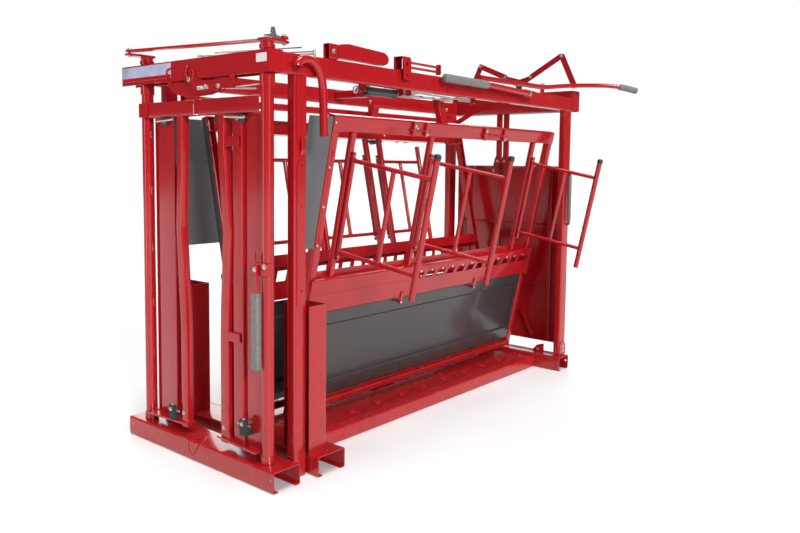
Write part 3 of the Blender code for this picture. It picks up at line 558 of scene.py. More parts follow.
def piece(name, kit, mat, body, nodes=(), bevel=0.0012, cut=None, seg=2):
    me = mesh_of(name, kit.s)
    ob = bpy.data.objects.new(name, me)
    SCN.collection.objects.link(ob)
    me.materials.append(mat)
    if cut is not None:
        tool = bpy.data.objects.new(name + "_tool", mesh_of(name + "_tool", cut.s))
        SCN.collection.objects.link(tool)
        md = ob.modifiers.new("holes", "BOOLEAN")
        md.operation, md.solver, md.use_self, md.object = "DIFFERENCE", "EXACT", True, tool
        bpy.context.view_layer.update()
        new = bpy.data.meshes.new_from_object(ob.evaluated_get(bpy.context.evaluated_depsgraph_get()))
        ob.modifiers.remove(md)
        old = ob.data
        ob.data = new
        bpy.data.meshes.remove(old)
        bpy.data.objects.remove(tool, do_unlink=True)
        me = ob.data
        me.name = name
        me.materials.clear()
        me.materials.append(mat)
    me.shade_smooth()
    me.set_sharp_from_angle(angle=radians(38))
    if bevel > 0:
        b = ob.modifiers.new("edge", "BEVEL")
        b.width = bevel
        b.segments = seg
        b.limit_method = "ANGLE"
        b.angle_limit = radians(38)
        b.use_clamp_overlap = True
        b.harden_normals = True
    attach(ob, body)
    if nodes:
        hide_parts(*nodes)
    DONE.append(ob)
    return ob


WELD, HARD = {}, {}


def weld(body):
    return WELD.setdefault(body, K())


def hard(body):
    return HARD.setdefault(body, K())


def ay(y0, y1):
    return (lambda st, z: W(st, y0, z)), (lambda st, z: W(st, y1, z))


def ax(x0, x1):
    return (lambda yy, z: W(x0, yy, z)), (lambda yy, z: W(x1, yy, z))


def az(z0, z1):
    return (lambda st, yy: W(st, yy, z0)), (lambda st, yy: W(st, yy, z1))


def drill(k, p, axis, r, depth=0.03, n=20):
    p, a = Vector(p), Vector(axis).normalized()
    return k.pipe([p - a * depth, p + a * depth], r, n)


def two(fn):
    """Run a builder for the near side and, mirrored, for the far side."""
    for side in ("near", "far"):
        fn(side, (lambda k: k) if side == "near" else (lambda k: k.mirror()))


def far(k, side):
    return k.mirror() if side == "far" else k


def mp(p, side):
    p = Vector(p)
    return p if side == "near" else Vector((p.x, -p.y, p.z))


# ---------------------------------------------------------------- floor frame
def lipped(a, b, y0, y1, h=0.100, t=0.006, lip=0.030):
    g = t / 2
    line = [(a + lip, g), (a + g, g), (a + g, h - g), (b - g, h - g), (b - g, g), (b - lip, g)]
    return K().fold(line, t, 0.007, *ay(y0, y1))


hc = K()
for yy in (-0.035, WIDTH + 0.035):
    drill(hc, W(-0.030, yy, 0.058), (1, 0, 0), 0.0075)
for yy in (0.10, 0.98):
    drill(hc, W(0.100, yy, 0.100), (0, 0, 1), 0.008)
piece("head_channel", lipped(-0.030, 0.135, -0.060, WIDTH + 0.060), RED, "frame", ["head_base_channel"], cut=hc)
sc_ = K()
for yy in (-0.045, WIDTH + 0.045):
    drill(sc_, W(0.328, yy, 0.100), (0, 0, 1), 0.009)
piece("second_channel", lipped(0.236, 0.420, -0.075, WIDTH + 0.075), RED, "frame", ["second_base_channel"], cut=sc_)
tc_ = K()
for yy in (-0.014, WIDTH + 0.014):
    drill(tc_, W(2.862, yy, 0.055), (1, 0, 0), 0.007)
piece("tail_channel", lipped(2.720, 2.862, -0.032, WIDTH + 0.032), RED, "frame", ["tail_base_channel"], cut=tc_)

# folded guide tongues on the front edge of the head channel
vt = K()
vt.plate([(-0.0335, 0.470), (-0.0335, 0.486), (0.020, 0.560), (0.052, 0.560), (0.052, 0.548)], 0.003, *az(0.1002, 0.1042))
vt.fold([(0.452, 0.0985), (0.500, 0.0985), (0.545, 0.030), (0.560, 0.030)], 0.004, 0.004, *ax(-0.0345, -0.0285))
vt.fold([(0.556, 0.030), (0.572, 0.030), (0.596, 0.0985), (0.650, 0.0985)], 0.004, 0.004, *ax(-0.0340, -0.0290))
vt.plate([(-0.0335, 0.600), (-0.0335, 0.650), (0.010, 0.650), (0.026, 0.632), (0.026, 0.612)], 0.003, *az(0.1002, 0.1038))
piece("channel_guide_tongues", vt, RED, "frame", bevel=0.0006)


def base_rail(side, f):
    y0, y1, t, h = 0.177, 0.500, 0.006, 0.080
    g = t / 2
    line = [(y0 + 0.030, g), (y0 + g, g), (y0 + g, h - g), (y1 - g, h - g), (y1 - g, h - 0.022)]
    k = K().fold(line, t, 0.007, *ax(0.4204, 2.7196))
    cut = K()
    x = 0.62
    i = 0
    while x < 2.62:
        cut.plate([(x, 0.262), (x + 0.052, 0.262), (x + 0.052, 0.273), (x, 0.273)], 0.005, *az(0.060, 0.10))
        cut.plate([(x + 0.018, 0.330), (x + 0.058, 0.330), (x + 0.058, 0.338), (x + 0.018, 0.338)], 0.0035, *az(0.060, 0.10))
        x += 0.2216
        i += 1
    piece("base_rail_%s_skin" % side, f(k), RED, "frame", ["base_rail_" + side], cut=f(cut))
    tb = K()
    x = 0.62
    while x < 2.62:
        tb.fold([(0.268, 0.0812), (0.288, 0.0812), (0.296, 0.0930)], 0.0026, 0.003, *ax(x + 0.004, x + 0.038), n=2)
        tb.plate([(x + 0.018, 0.3275), (x + 0.058, 0.3275), (x + 0.058, 0.3325), (x + 0.018, 0.3325)], 0.0012, *az(0.078, 0.0915), n=2)
        x += 0.2216
    piece("base_rail_%s_tabs" % side, f(tb), RED, "frame", bevel=0.0004)
    for xx in (0.4215, 2.7185):
        weld("frame").bead([mp(W(xx, y, 0.0812), side) for y in (0.182, 0.30, 0.40, 0.495)], 0.0035)


two(base_rail)


def tail_bracket(side, f):
    """Gusset with its bolt at the foot of a tail post."""
    k = K().plate([(0.140, 0.0805), (0.232, 0.0805), (0.226, 0.118), (0.196, 0.150), (0.140, 0.168)], 0.006, *ax(2.7960, 2.8020))
    piece("tail_foot_%s_gusset" % side, f(k), RED, "frame", bevel=0.0008)
    hard("frame").hexhead(mp(W(2.7958, 0.190, 0.118), side), (-1, 0, 0), 0.0085, 0.006)


two(tail_bracket)
cm0, cm1 = 1.45, 1.55
piece("cross_member", K().fold([(cm0 + .003, .056), (cm0 + .003, .003), (cm1 - .003, .003), (cm1 - .003, .056)], 0.006, 0.007,
                               *ay(0.209, WIDTH - 0.209)), RED, "frame", ["floor_cross_member"])


# ---------------------------------------------------------------- posts and rails
def posts(side, f):
    k = K().rtube(0.150, 0.228, 0.0, 0.050, 0.0, 1.9016, "z", 0.004, 0.008)
    cut = K()
    for z in (1.42, 1.28):
        drill(cut, W(0.190, 0.0, z), (0, 1, 0), 0.006)
    piece("corner_post_%s_tube" % side, f(k), RED, "frame", ["corner_post_" + side], cut=f(cut))
    k = K().rtube(2.776, 2.866, 0.0, 0.050, 0.1004, 1.9016, "z", 0.004, 0.008)
    piece("tail_post_%s_tube" % side, f(k), RED, "frame", ["tail_post_" + side])
    x0, x1, y0, y1, t = 0.2284, 0.345, -0.020, 0.160, 0.003
    g = t / 2
    k = K().fold([(x0, y0 + g), (x1 - g, y0 + g), (x1 - g, y1 - g), (x0, y1 - g)], t, 0.004, *az(0.1004, 0.822))
    piece("box_cover_%s_skin" % side, f(k), RED, "frame", ["box_cover_" + side], bevel=0.0008)
    k = K().rtube(0.0834, 2.866, 0.0, 0.050, 1.902, 2.000, "x", 0.004, 0.008)
    cut = K()
    for x in (1.33, 2.52):
        drill(cut, W(x, 0.0, 1.93), (0, 1, 0), 0.006, 0.02)
    piece("top_rail_%s_tube" % side, f(k), RED, "frame", ["top_rail_" + side], cut=f(cut))
    # gusset, foot plate and fixings of the tail post
    k = K()
    k.plate([(2.722, 0.1006), (2.7755, 0.1006), (2.7755, 0.180)], 0.005, lambda a, b: W(a, 0.020, b), lambda a, b: W(a, 0.026, b))
    k.plate([(2.7765, 0.104), (2.865, 0.104), (2.865, 0.175), (2.840, 0.200), (2.800, 0.200), (2.7765, 0.175)], 0.004,
            lambda a, b: W(a, -0.0062, b), lambda a, b: W(a, -0.0006, b))
    piece("tail_post_%s_gusset" % side, f(k), RED, "frame", bevel=0.0008)
    wf = weld("frame")
    for (a, b, z) in ((0.150, 0.228, 0.1012), ):
        wf.bead([mp(W(a, y, z), side) for y in (0.002, 0.048)], 0.0032)
    wf.bead([mp(W(x, -0.0005, 0.1015), side) for x in (2.780, 2.862)], 0.0032)
    wf.bead([mp(W(x, 0.0505, 0.1015), side) for x in (2.780, 2.862)], 0.0032)
    wf.bead([mp(W(2.8665, y, 0.1015), side) for y in (0.002, 0.048)], 0.0032)
    for z0 in (1.9008,):
        wf.bead([mp(W(x, -0.0008, z0), side) for x in (0.155, 0.223)], 0.0030)
        wf.bead([mp(W(x, -0.0008, z0), side) for x in (2.782, 2.862)], 0.0030)
        wf.bead([mp(W(x, 0.0508, z0), side) for x in (0.155, 0.223)], 0.0030)
        wf.bead([mp(W(0.2285, y, z0), side) for y in (0.004, 0.046)], 0.0030)
        wf.bead([mp(W(2.7755, y, z0), side) for y in (0.004, 0.046)], 0.0030)
    for z in (0.17, 0.38, 0.60, 0.78):
        wf.bead([mp(W(0.2288, -0.0195, z - 0.014), side), mp(W(0.2288, -0.0195, z + 0.014), side)], 0.0026)
    wf.bead([mp(W(x, -0.0202, 0.1012), side) for x in (0.235, 0.338)], 0.0028)
    hf = hard("frame")
    for z in (0.135, 0.168):
        hf.hexhead(mp(W(2.820, -0.0062, z), side), mp((0, -1, 0), side), 0.0085, 0.0065)


two(posts)

# ---------------------------------------------------------------- head beam
g = 0.002
hb = K().fold([(g, 1.902), (g, 2.005 - g), (0.083 - g, 2.005 - g), (0.083 - g, 1.902)], 0.004, 0.006, *ay(0.0, 1.205))
cut = K()
for yy in (0.054, WIDTH - 0.054):
    drill(cut, W(0.037, yy, 2.003), (0, 0, 1), 0.0318, 0.02, 32)
for yy in (0.20, 0.36):
    drill(cut, W(0.060, yy, 2.003), (0, 0, 1), 0.006, 0.02)
hb.plate([(0.0006, 1.9026), (0.0824, 1.9026), (0.0824, 2.0044), (0.0006, 2.0044)], 0.004, lambda a_, b_: W(a_, 0.0002, b_), lambda a_, b_: W(a_, 0.0038, b_))
piece("head_beam_channel", hb, RED, "frame", ["head_top_beam"], cut=cut)
lp = K()
lp.plate([(0.800, 1.9018), (0.800, 1.884), (0.772, 1.862), (0.735, 1.845), (0.690, 1.832), (0.640, 1.827), (0.430, 1.827), (0.380, 1.836),
          (0.335, 1.856), (0.300, 1.884), (0.300, 1.9018)], 0.012, *ax(0.0200, 0.0280))
lp.plate([(0.0060, 0.300), (0.0780, 0.300), (0.0780, 0.800), (0.0060, 0.800)], 0.004, *az(1.9026, 1.9072))
for yy in (0.500, 0.596):
    lp.plate([(yy - .003, 1.9026), (yy - .003, 1.846), (yy + .003, 1.846), (yy + .003, 1.9026)], 0.001, *ax(0.0275, 0.070), n=2)
lp.pipe([W(0.018, 0.470, 1.868), W(0.060, 0.470, 1.868)], 0.009, 20)
piece("head_latch_plate", lp, RED, "frame", bevel=0.001)
weld("frame").bead([W(0.0195, y, 1.9005) for y in (0.305, 0.45, 0.60, 0.795)], 0.003)
hard("frame").hexhead(W(0.018, 0.470, 1.868), (-1, 0, 0), 0.010, 0.007)
hard("frame").hexhead(W(0.020, 0.715, 1.872), (-1, 0, 0), 0.0085, 0.006)
# blank plates: a sign and a small sticker, with nothing written on them
sg = K().plate([(0.748, 1.9200), (1.198, 1.9200), (1.198, 1.9960), (0.748, 1.9960)], 0.003, *ax(-0.0016, -0.0002))
piece("blank_sign_plate", sg, BLUE, "frame", bevel=0.0003)
sg = K().plate([(0.7484, 1.9203), (1.1976, 1.9203), (1.1976, 1.9390), (0.7484, 1.9390)], 0.0025, *ax(-0.0024, -0.0013))
piece("blank_sign_stripe", sg, RED, "frame", bevel=0.0002)

st2 = K().plate([(0.014, 1.9480), (0.086, 1.9480), (0.086, 1.9870), (0.014, 1.9870)], 0.002, *ax(-0.0011, -0.0002))
piece("blank_sticker", st2, WHITE, "frame", bevel=0.0002)

# works of the latch: a curved cam plate, side plates, pivots, rods and a coil spring
cm = K()
cm.plate([(0.785, 1.9010), (0.782, 1.884), (0.755, 1.856), (0.700, 1.832), (0.640, 1.822), (0.560, 1.816), (0.410, 1.822), (0.408, 1.840), (0.470, 1.868), (0.560, 1.884), (0.660, 1.892), (0.700, 1.9010)], 0.007, *ax(0.0085, 0.0125))
cm.fold([(0.740, 1.966), (0.776, 1.958), (0.776, 1.905), (0.745, 1.894)], 0.008, 0.010, *ax(-0.0095, -0.0005))
piece("latch_cam_plate", cm, RED, "frame", bevel=0.001)
lw = K()
lw.plate([(0.610, 1.905), (0.585, 1.925), (0.560, 1.912), (0.480, 1.893), (0.380, 1.888), (0.300, 1.896), (0.244, 1.886), (0.236, 1.862), (0.262, 1.842), (0.330, 1.846), (0.400, 1.834), (0.480, 1.840), (0.560, 1.860)], 0.008, *ax(-0.0060, -0.0015))
lw.plate([(0.400, 1.9012), (0.395, 1.848), (0.360, 1.826), (0.325, 1.834), (0.310, 1.9012)], 0.008, *ax(0.0085, 0.0125))
lw.fold([(0.250, 1.9000), (0.238, 1.872), (0.262, 1.846)], 0.006, 0.010, *ax(-0.0150, 0.0180))
for yy, zz, r_ in ((0.585, 1.900, .014), (0.556, 1.872, .017), (0.450, 1.860, .013), (0.352, 1.858, .016), (0.266, 1.866, .013)):
    lw.pipe([W(-0.0100, yy, zz), W(0.016, yy, zz)], r_, 20)
lw.pipe([W(-0.004, 0.598, 1.908), W(-0.008, 0.614, 1.930), W(-0.008, 0.600, 1.962), W(-0.008, 0.590, 1.972)], 0.0050, 12)
lw.pipe([W(-0.006, 0.560, 1.905), W(-0.009, 0.545, 1.925), W(-0.009, 0.552, 1.948)], 0.0042, 12)
piece("latch_works", lw, RED, "frame", bevel=0.0008)
lz = K()
for p_, q_ in (((0.004, 0.575, 1.862), (0.030, 0.120, 1.836)), ((0.010, 0.350, 1.846), (0.040, 0.100, 1.858)), ((0.0, 0.545, 1.895), (0.002, 0.360, 1.878))):
    lz.pipe([W(*p_), W(*q_)], 0.0042, 12)
pts = []
for i in range(161):
    q_ = i / 160
    pts.append(W(0.000 + 0.0095 * cos(q_ * 2 * pi * 12), 0.520 - 0.090 * q_, 1.856 + 0.0095 * sin(q_ * 2 * pi * 12)))
lz.pipe(pts, 0.0018, 8)
piece("latch_rods", lz, ZINC, "frame", bevel=0.0)
for yy, zz in ((0.585, 1.900), (0.450, 1.860), (0.352, 1.858)):
    hard("frame").hexhead(W(-0.0100, yy, zz), (-1, 0, 0), 0.0085, 0.006)
# slim return rods lying over the head beam, and the short steel lever on the near post
rz = K()
for p_, q_ in (((0.055, 0.600, 2.022), (0.300, 0.028, 2.026)), ((0.055, 0.560, 2.016), (0.300, 0.020, 2.014)), ((0.070, 0.480, 2.030), (0.205, 0.012, 2.032))):
    rz.pipe([W(*p_), W(*q_)], 0.0036, 12)
rz.pipe([W(0.300, 0.024, 2.0004), W(0.300, 0.024, 2.034)], 0.0060, 14)
rz.pipe([W(0.055, 0.580, 2.0052), W(0.055, 0.580, 2.028)], 0.0060, 14)
piece("head_return_rods", rz, ZINC, "frame", bevel=0.0)

# ---------------------------------------------------------------- tail beam
LX, RK = 2.922, (0.475, 2.125)
a, b = 2.8664, 2.980
tb = K().fold([(a + .028, 1.904), (a + .002, 1.904), (a + .002, 2.050), (b - .002, 2.050), (b - .002, 1.904), (b - .040, 1.904)], 0.004, 0.005, *ay(0.0, WIDTH))
cut = K()
for yy in (0.12, 0.30, 0.78, 0.95):
    drill(cut, W(b, yy, 1.985), (1, 0, 0), 0.007, 0.02)
piece("tail_beam_track", tb, RED, "frame", ["tail_top_beam"], cut=cut)
pe = K().plate([(LX - .016, RK[0] - .030), (LX + .040, RK[0] - .030), (LX + .040, RK[0] + .030), (LX - .016, RK[0] + .030)], 0.004, *az(2.0522, 2.060))
pe.plate([(RK[0] - .028, 2.058), (RK[0] + .028, 2.058), (RK[0] + .024, RK[1] + .012), (RK[0] + .010, RK[1] + .022), (RK[0] - .010, RK[1] + .022), (RK[0] - .024, RK[1] + .012)],
         0.008, *ax(LX - .015, LX - .009))
pe.pipe([W(LX - .012, *RK), W(LX + .010, *RK)], 0.008, 20)
piece("rocker_pedestal", pe, RED, "frame", bevel=0.0008)
hard("frame").hexhead(W(LX - .015, *RK), (-1, 0, 0), 0.010, 0.007)
for yy in (0.0, WIDTH):
    zc = 1.906 if yy < .5 else 1.968
    ep = K().plate([(2.868, zc), (2.978, zc), (2.978, 2.048), (2.868, 2.048)], 0.004, *ay(yy - 0.0030 if yy < .5 else yy + .0002, yy - .0002 if yy < .5 else yy + .003))
    piece("tail_beam_cap_%s" % ("near" if yy < .5 else "far"), ep, RED, "frame", bevel=0.0008)
for yy in (0.10, 0.52, 0.97):
    hard("frame").hexhead(W(2.930, yy, 2.0521), (0, 0, 1), 0.009, 0.0065)

piece("mid_beam_tube", K().rtube(1.440, 1.490, 0.0504, WIDTH - 0.0504, 1.933, 1.985, "y", 0.004, 0.007), RED, "frame", ["mid_top_beam"])
fr_ = K().rtube(0.238, 2.766, 0.980, 1.020, 1.822, 1.864, "x", 0.003, 0.006)
for x in (0.250, 1.780, 2.690):
    fr_.plate([(x, 1.824), (x + .045, 1.824), (x + .045, 1.965), (x, 1.965)], 0.006, lambda a_, b_: W(a_, 1.0198, b_), lambda a_, b_: W(a_, 1.0244, b_))
piece("far_rail_tube", fr_, RED, "frame", ["far_hanger_rail"])
for x in (0.272, 1.802, 2.712):
    hard("frame").hexhead(W(x, 1.0196, 1.940), (0, -1, 0), 0.009, 0.007)
# brace between the far tail post and the track
bz = K().plate([(1.030, 1.820), (1.030, 1.862), (0.700, 2.020), (0.672, 2.020), (0.672, 2.000), (0.990, 1.835)], 0.006, *ax(2.8575, 2.8620))
piece("tail_brace", bz, RED, "frame", bevel=0.0008)
for x in (1.442, 1.488):
    weld("frame").bead([W(x, 0.0508, z) for z in (1.938, 1.980)], 0.003)

# ---------------------------------------------------------------- near rail fittings
br = K().rtube(0.905, 0.971, -0.018, 0.047, 2.0004, 2.073, "x", 0.004, 0.006)
br.plate([(0.906, 1.950), (0.970, 1.950), (0.970, 2.060), (0.906, 2.060)], 0.008, lambda p, q: W(p, -0.0235, q), lambda p, q: W(p, -0.0185, q))
br.plate([(-0.010, 2.006), (0.040, 2.006), (0.040, 2.068), (-0.010, 2.068)], 0.004, *ax(0.9712, 0.9760))
cut = K()
drill(cut, W(0.938, -0.021, 2.032), (0, 1, 0), 0.011, 0.02, 24)
drill(cut, W(0.938, -0.021, 1.972), (0, 1, 0), 0.007, 0.012, 20)
piece("lever_bracket_box", br, RED, "frame", ["lever_bracket"], cut=cut, bevel=0.001)
yk = K()
for z in (2.024, 2.050):
    yk.pipe([W(0.974, 0.014, z), W(1.262, 0.014, z)], 0.0072, 20)
yk.plate([(-0.002, 2.008), (0.030, 2.008), (0.030, 2.066), (-0.002, 2.066)], 0.006, *ax(1.256, 1.264))
piece("lock_yoke", yk, RED, "frame", bevel=0.0008)
for z in (2.024, 2.050):
    hard("frame").hexhead(W(1.264, 0.014, z), (1, 0, 0), 0.011, 0.009, True, 0.006)

pb = K().rtube(0.372, 0.4362, -0.002, 0.040, 2.0004, 2.074, "x", 0.004, 0.006)
pb.plate([(0.436, 2.008), (0.770, 2.007), (0.797, 2.019), (0.8075, 2.040), (0.797, 2.060), (0.770, 2.073), (0.505, 2.084), (0.436, 2.074)], 0.010,
         lambda x, z: W(x, -0.006, z), lambda x, z: W(x, 0.026, z))
piece("rail_paddle", pb, RED, "frame", ["rope_paddle"], bevel=0.004, seg=3)
hard("frame").hexhead(W(0.404, -0.002, 2.038), (0, -1, 0), 0.009, 0.007)

# sleeve on the hand bar of the near tail post
hbk = K().pipe(fillet3([W(2.834, -0.001, 1.075), W(2.834, -0.020, 1.075), W(2.834, -0.020, 1.455), W(2.834, -0.001, 1.455)], 0.012, 6), 0.0085, 20)
piece("tail_hand_bar_rod", hbk, RED, "frame", ["tail_hand_bar"])
hs = K().pipe([W(2.834, -0.020, 1.105), W(2.834, -0.020, 1.425)], 0.0125, 24, dome=True)
piece("tail_hand_bar_sleeve", hs, VINYL, "frame", bevel=0.0)

# friction lock: body, rod, eye and return springs
fy, fz = 0.098, 1.884
fl = K().pipe([W(0.735, fy, fz), W(0.975, fy, fz)], 0.0245, 32)
for x in (0.742, 0.760, 0.950, 0.968):
    fl.pipe([W(x - 0.004, fy, fz), W(x + 0.004, fy, fz)], 0.0265, 32)
piece("friction_lock_body", fl, BLACK, "frame", ["friction_lock"], bevel=0.001)
fr = K().pipe([W(0.668, fy, fz), W(1.200, fy, fz)], 0.0070, 20)
pts = []
for i in range(241):
    q = i / 240
    pts.append(W(0.985 + 0.145 * q, fy + 0.0135 * cos(q * 2 * pi * 15), fz + 0.0135 * sin(q * 2 * pi * 15)))
fr.pipe(pts, 0.0021, 8)
pts = [W(0.664 + 0.017 * cos(t * 2 * pi / 24), fy, fz + 0.017 * sin(t * 2 * pi / 24)) for t in range(24)]
fr.pipe(pts + [pts[0]], 0.0042, 12)
for p_, q_ in (((1.020, 0.085, 1.905), (1.640, 0.086, 1.896)), ((1.100, 0.112, 1.878), (1.460, 0.116, 1.888)), ((1.200, 0.098, fz), (1.330, 0.098, 1.886))):
    fr.pipe([W(*p_), W(*q_)], 0.0046, 12)
for xa_, ya_, za_ in ((1.420, 0.116, 1.888), (1.560, 0.086, 1.897)):
    pts = []
    for i in range(161):
        q = i / 160
        pts.append(W(xa_ + 0.12 * q, ya_ + 0.010 * cos(q * 2 * pi * 12), za_ + 0.010 * sin(q * 2 * pi * 12)))
    fr.pipe(pts, 0.0019, 8)
for x, y_, z_ in ((1.030, 0.085, 1.905), (1.075, 0.098, fz), (1.110, 0.112, 1.878), (1.200, 0.098, fz), (1.445, 0.100, 1.892), (1.700, 0.086, 1.895)):
    fr.pipe([W(x, y_ - .018, z_), W(x, y_ + .018, z_)], 0.0075, 14)
    fr.pipe([W(x - .010, y_, z_), W(x + .010, y_, z_)], 0.0092, 6)
piece("friction_lock_rod", fr, ZINC, "frame", bevel=0.0)
fb = K()
for x in (0.690, 0.9915):
    fb.plate([(0.0504, 1.874), (0.104, 1.870), (0.112, 1.884), (0.106, 1.906), (0.070, 1.940), (0.0504, 1.940)], 0.004, *ax(x, x + 0.0045))
for x in (1.058, 1.690):
    fb.plate([(0.0504, 1.880), (0.092, 1.876), (0.098, 1.890), (0.088, 1.915), (0.0504, 1.935)], 0.004, *ax(x, x + 0.0045))
piece("friction_lock_brackets", fb, RED, "frame", bevel=0.0006)

# ---------------------------------------------------------------- headgate leaves
PST, PY, PR = 0.037, 0.054, 0.030


def gate_post(side, f):
    k = K().pipe([W(PST, PY, 0.1015), W(PST, PY, 2.046)], PR, 32, PR - 0.004)
    k.pipe([W(PST, PY, 0.1015), W(PST, PY, 0.136)], PR + 0.005, 32, PR - 0.003)
    k.pipe([W(PST, PY, 1.850), W(PST, PY, 1.897)], PR + 0.005, 32, PR - 0.003)
    k.pipe([W(PST, PY, 2.010), W(PST, PY, 2.028)], PR + 0.006, 32, PR - 0.003)
    piece("gate_post_%s_pipe" % side, f(k), RED, "leaf_" + side, ["gate_post_" + side], bevel=0.001)
    a = 1 if side == "near" else -1
    o = [(PST - a * .036, PY - .034), (PST + a * .070, PY - .032), (PST + a * .122, PY - .016), (PST + a * .122, PY + .016), (PST + a * .070, PY + .032), (PST - a * .036, PY + .034)]
    c = K().plate(o, 0.014, *az(2.0445, 2.0555))
    c.pipe([W(PST + a * .100, PY, 2.050), W(PST + a * .100, PY, 2.086 if a > 0 else 2.0612)], 0.0078, 20)
    piece("gate_crank_%s" % side, f(c), RED, "leaf_" + side)
    w = weld("leaf_" + side)
    w.ring_bead(mp(W(PST, PY, 2.0440), side), (0, 0, 1), PR + 0.001, 0.0032)
    w.ring_bead(mp(W(PST, PY, 1.8975), side), (0, 0, 1), PR + 0.002, 0.0024)
    w.ring_bead(mp(W(PST, PY, 0.1365), side), (0, 0, 1), PR + 0.002, 0.0024)
    w.bead([mp(W(PST - .004, PY + PR + .002, z), side) for z in (0.20, 0.26)], 0.003)
    for z in (0.45, 0.72, 1.02, 1.32, 1.62):
        w.bead([mp(W(PST - .001, PY + PR + .0005, z), side), mp(W(PST - .001, PY + PR + .0005, z + 0.045), side)], 0.0028)
    hard("leaf_" + side).hexhead(mp(W(PST + a * .100, PY, 2.0445), side), (0, 0, -1), 0.010, 0.006)
    if a > 0:
        hard("leaf_" + side).hexhead(mp(W(PST + a * .100, PY, 2.0765), side), (0, 0, 1), 0.0115, 0.008)
        hard("leaf_" + side).hexhead(W(PST, PY, 2.0560), (0, 0, 1), 0.0125, 0.009)
        sl = K().plate([(0.022, 2.0655), (0.112, 2.0655), (0.108, 2.0720), (0.084, 2.0790), (0.076, 2.1110), (0.066, 2.1110), (0.060, 2.0840), (0.040, 2.0740), (0.022, 2.0715)], 0.003,
                       lambda a_, b_: W(a_, PY - .007, b_), lambda a_, b_: W(a_, PY + .007, b_))
        piece("near_post_release_lever", sl, ZINC, "leaf_" + side, bevel=0.0006)


two(gate_post)

# tie bar between the two cranks
p, q = Vector((PST + .100, PY)), Vector((PST - .100, WIDTH - PY))
d = (q - p).normalized(); n = Vector((-d.y, d.x)) * 0.018
p0, q0 = p - d * .020, q + d * .020
tb_ = K().plate([p0 + n, p0 - n, q0 - n, q0 + n], 0.0165, *az(2.062, 2.0745), n=8)
cut = K(); drill(cut, W(p.x, p.y, 2.068), (0, 0, 1), 0.0092, 0.02)
piece("tie_bar_flat", tb_, RED, "tie_bar", ["gate_tie_bar"], cut=cut)
hard("tie_bar").hexhead(W(q.x, q.y, 2.0745), (0, 0, 1), 0.0115, 0.008)


def rsq(w, h, r, n=4):
    return [(v.x, v.y) for v in fillet2([(-w / 2, -h / 2), (w / 2, -h / 2), (w / 2, h / 2), (-w / 2, h / 2)], r, n, True)]


NECKS = {"near": [(0.364, 1.735), (0.364, 1.560), (0.326, 1.170), (0.348, 0.790), (0.352, 0.640), (0.352, 0.131)],
         "far": [(WIDTH - y, z) for y, z in [(0.702, 1.735), (0.702, 1.560), (0.718, 1.170), (0.694, 0.790), (0.686, 0.640), (0.686, 0.131)]]}


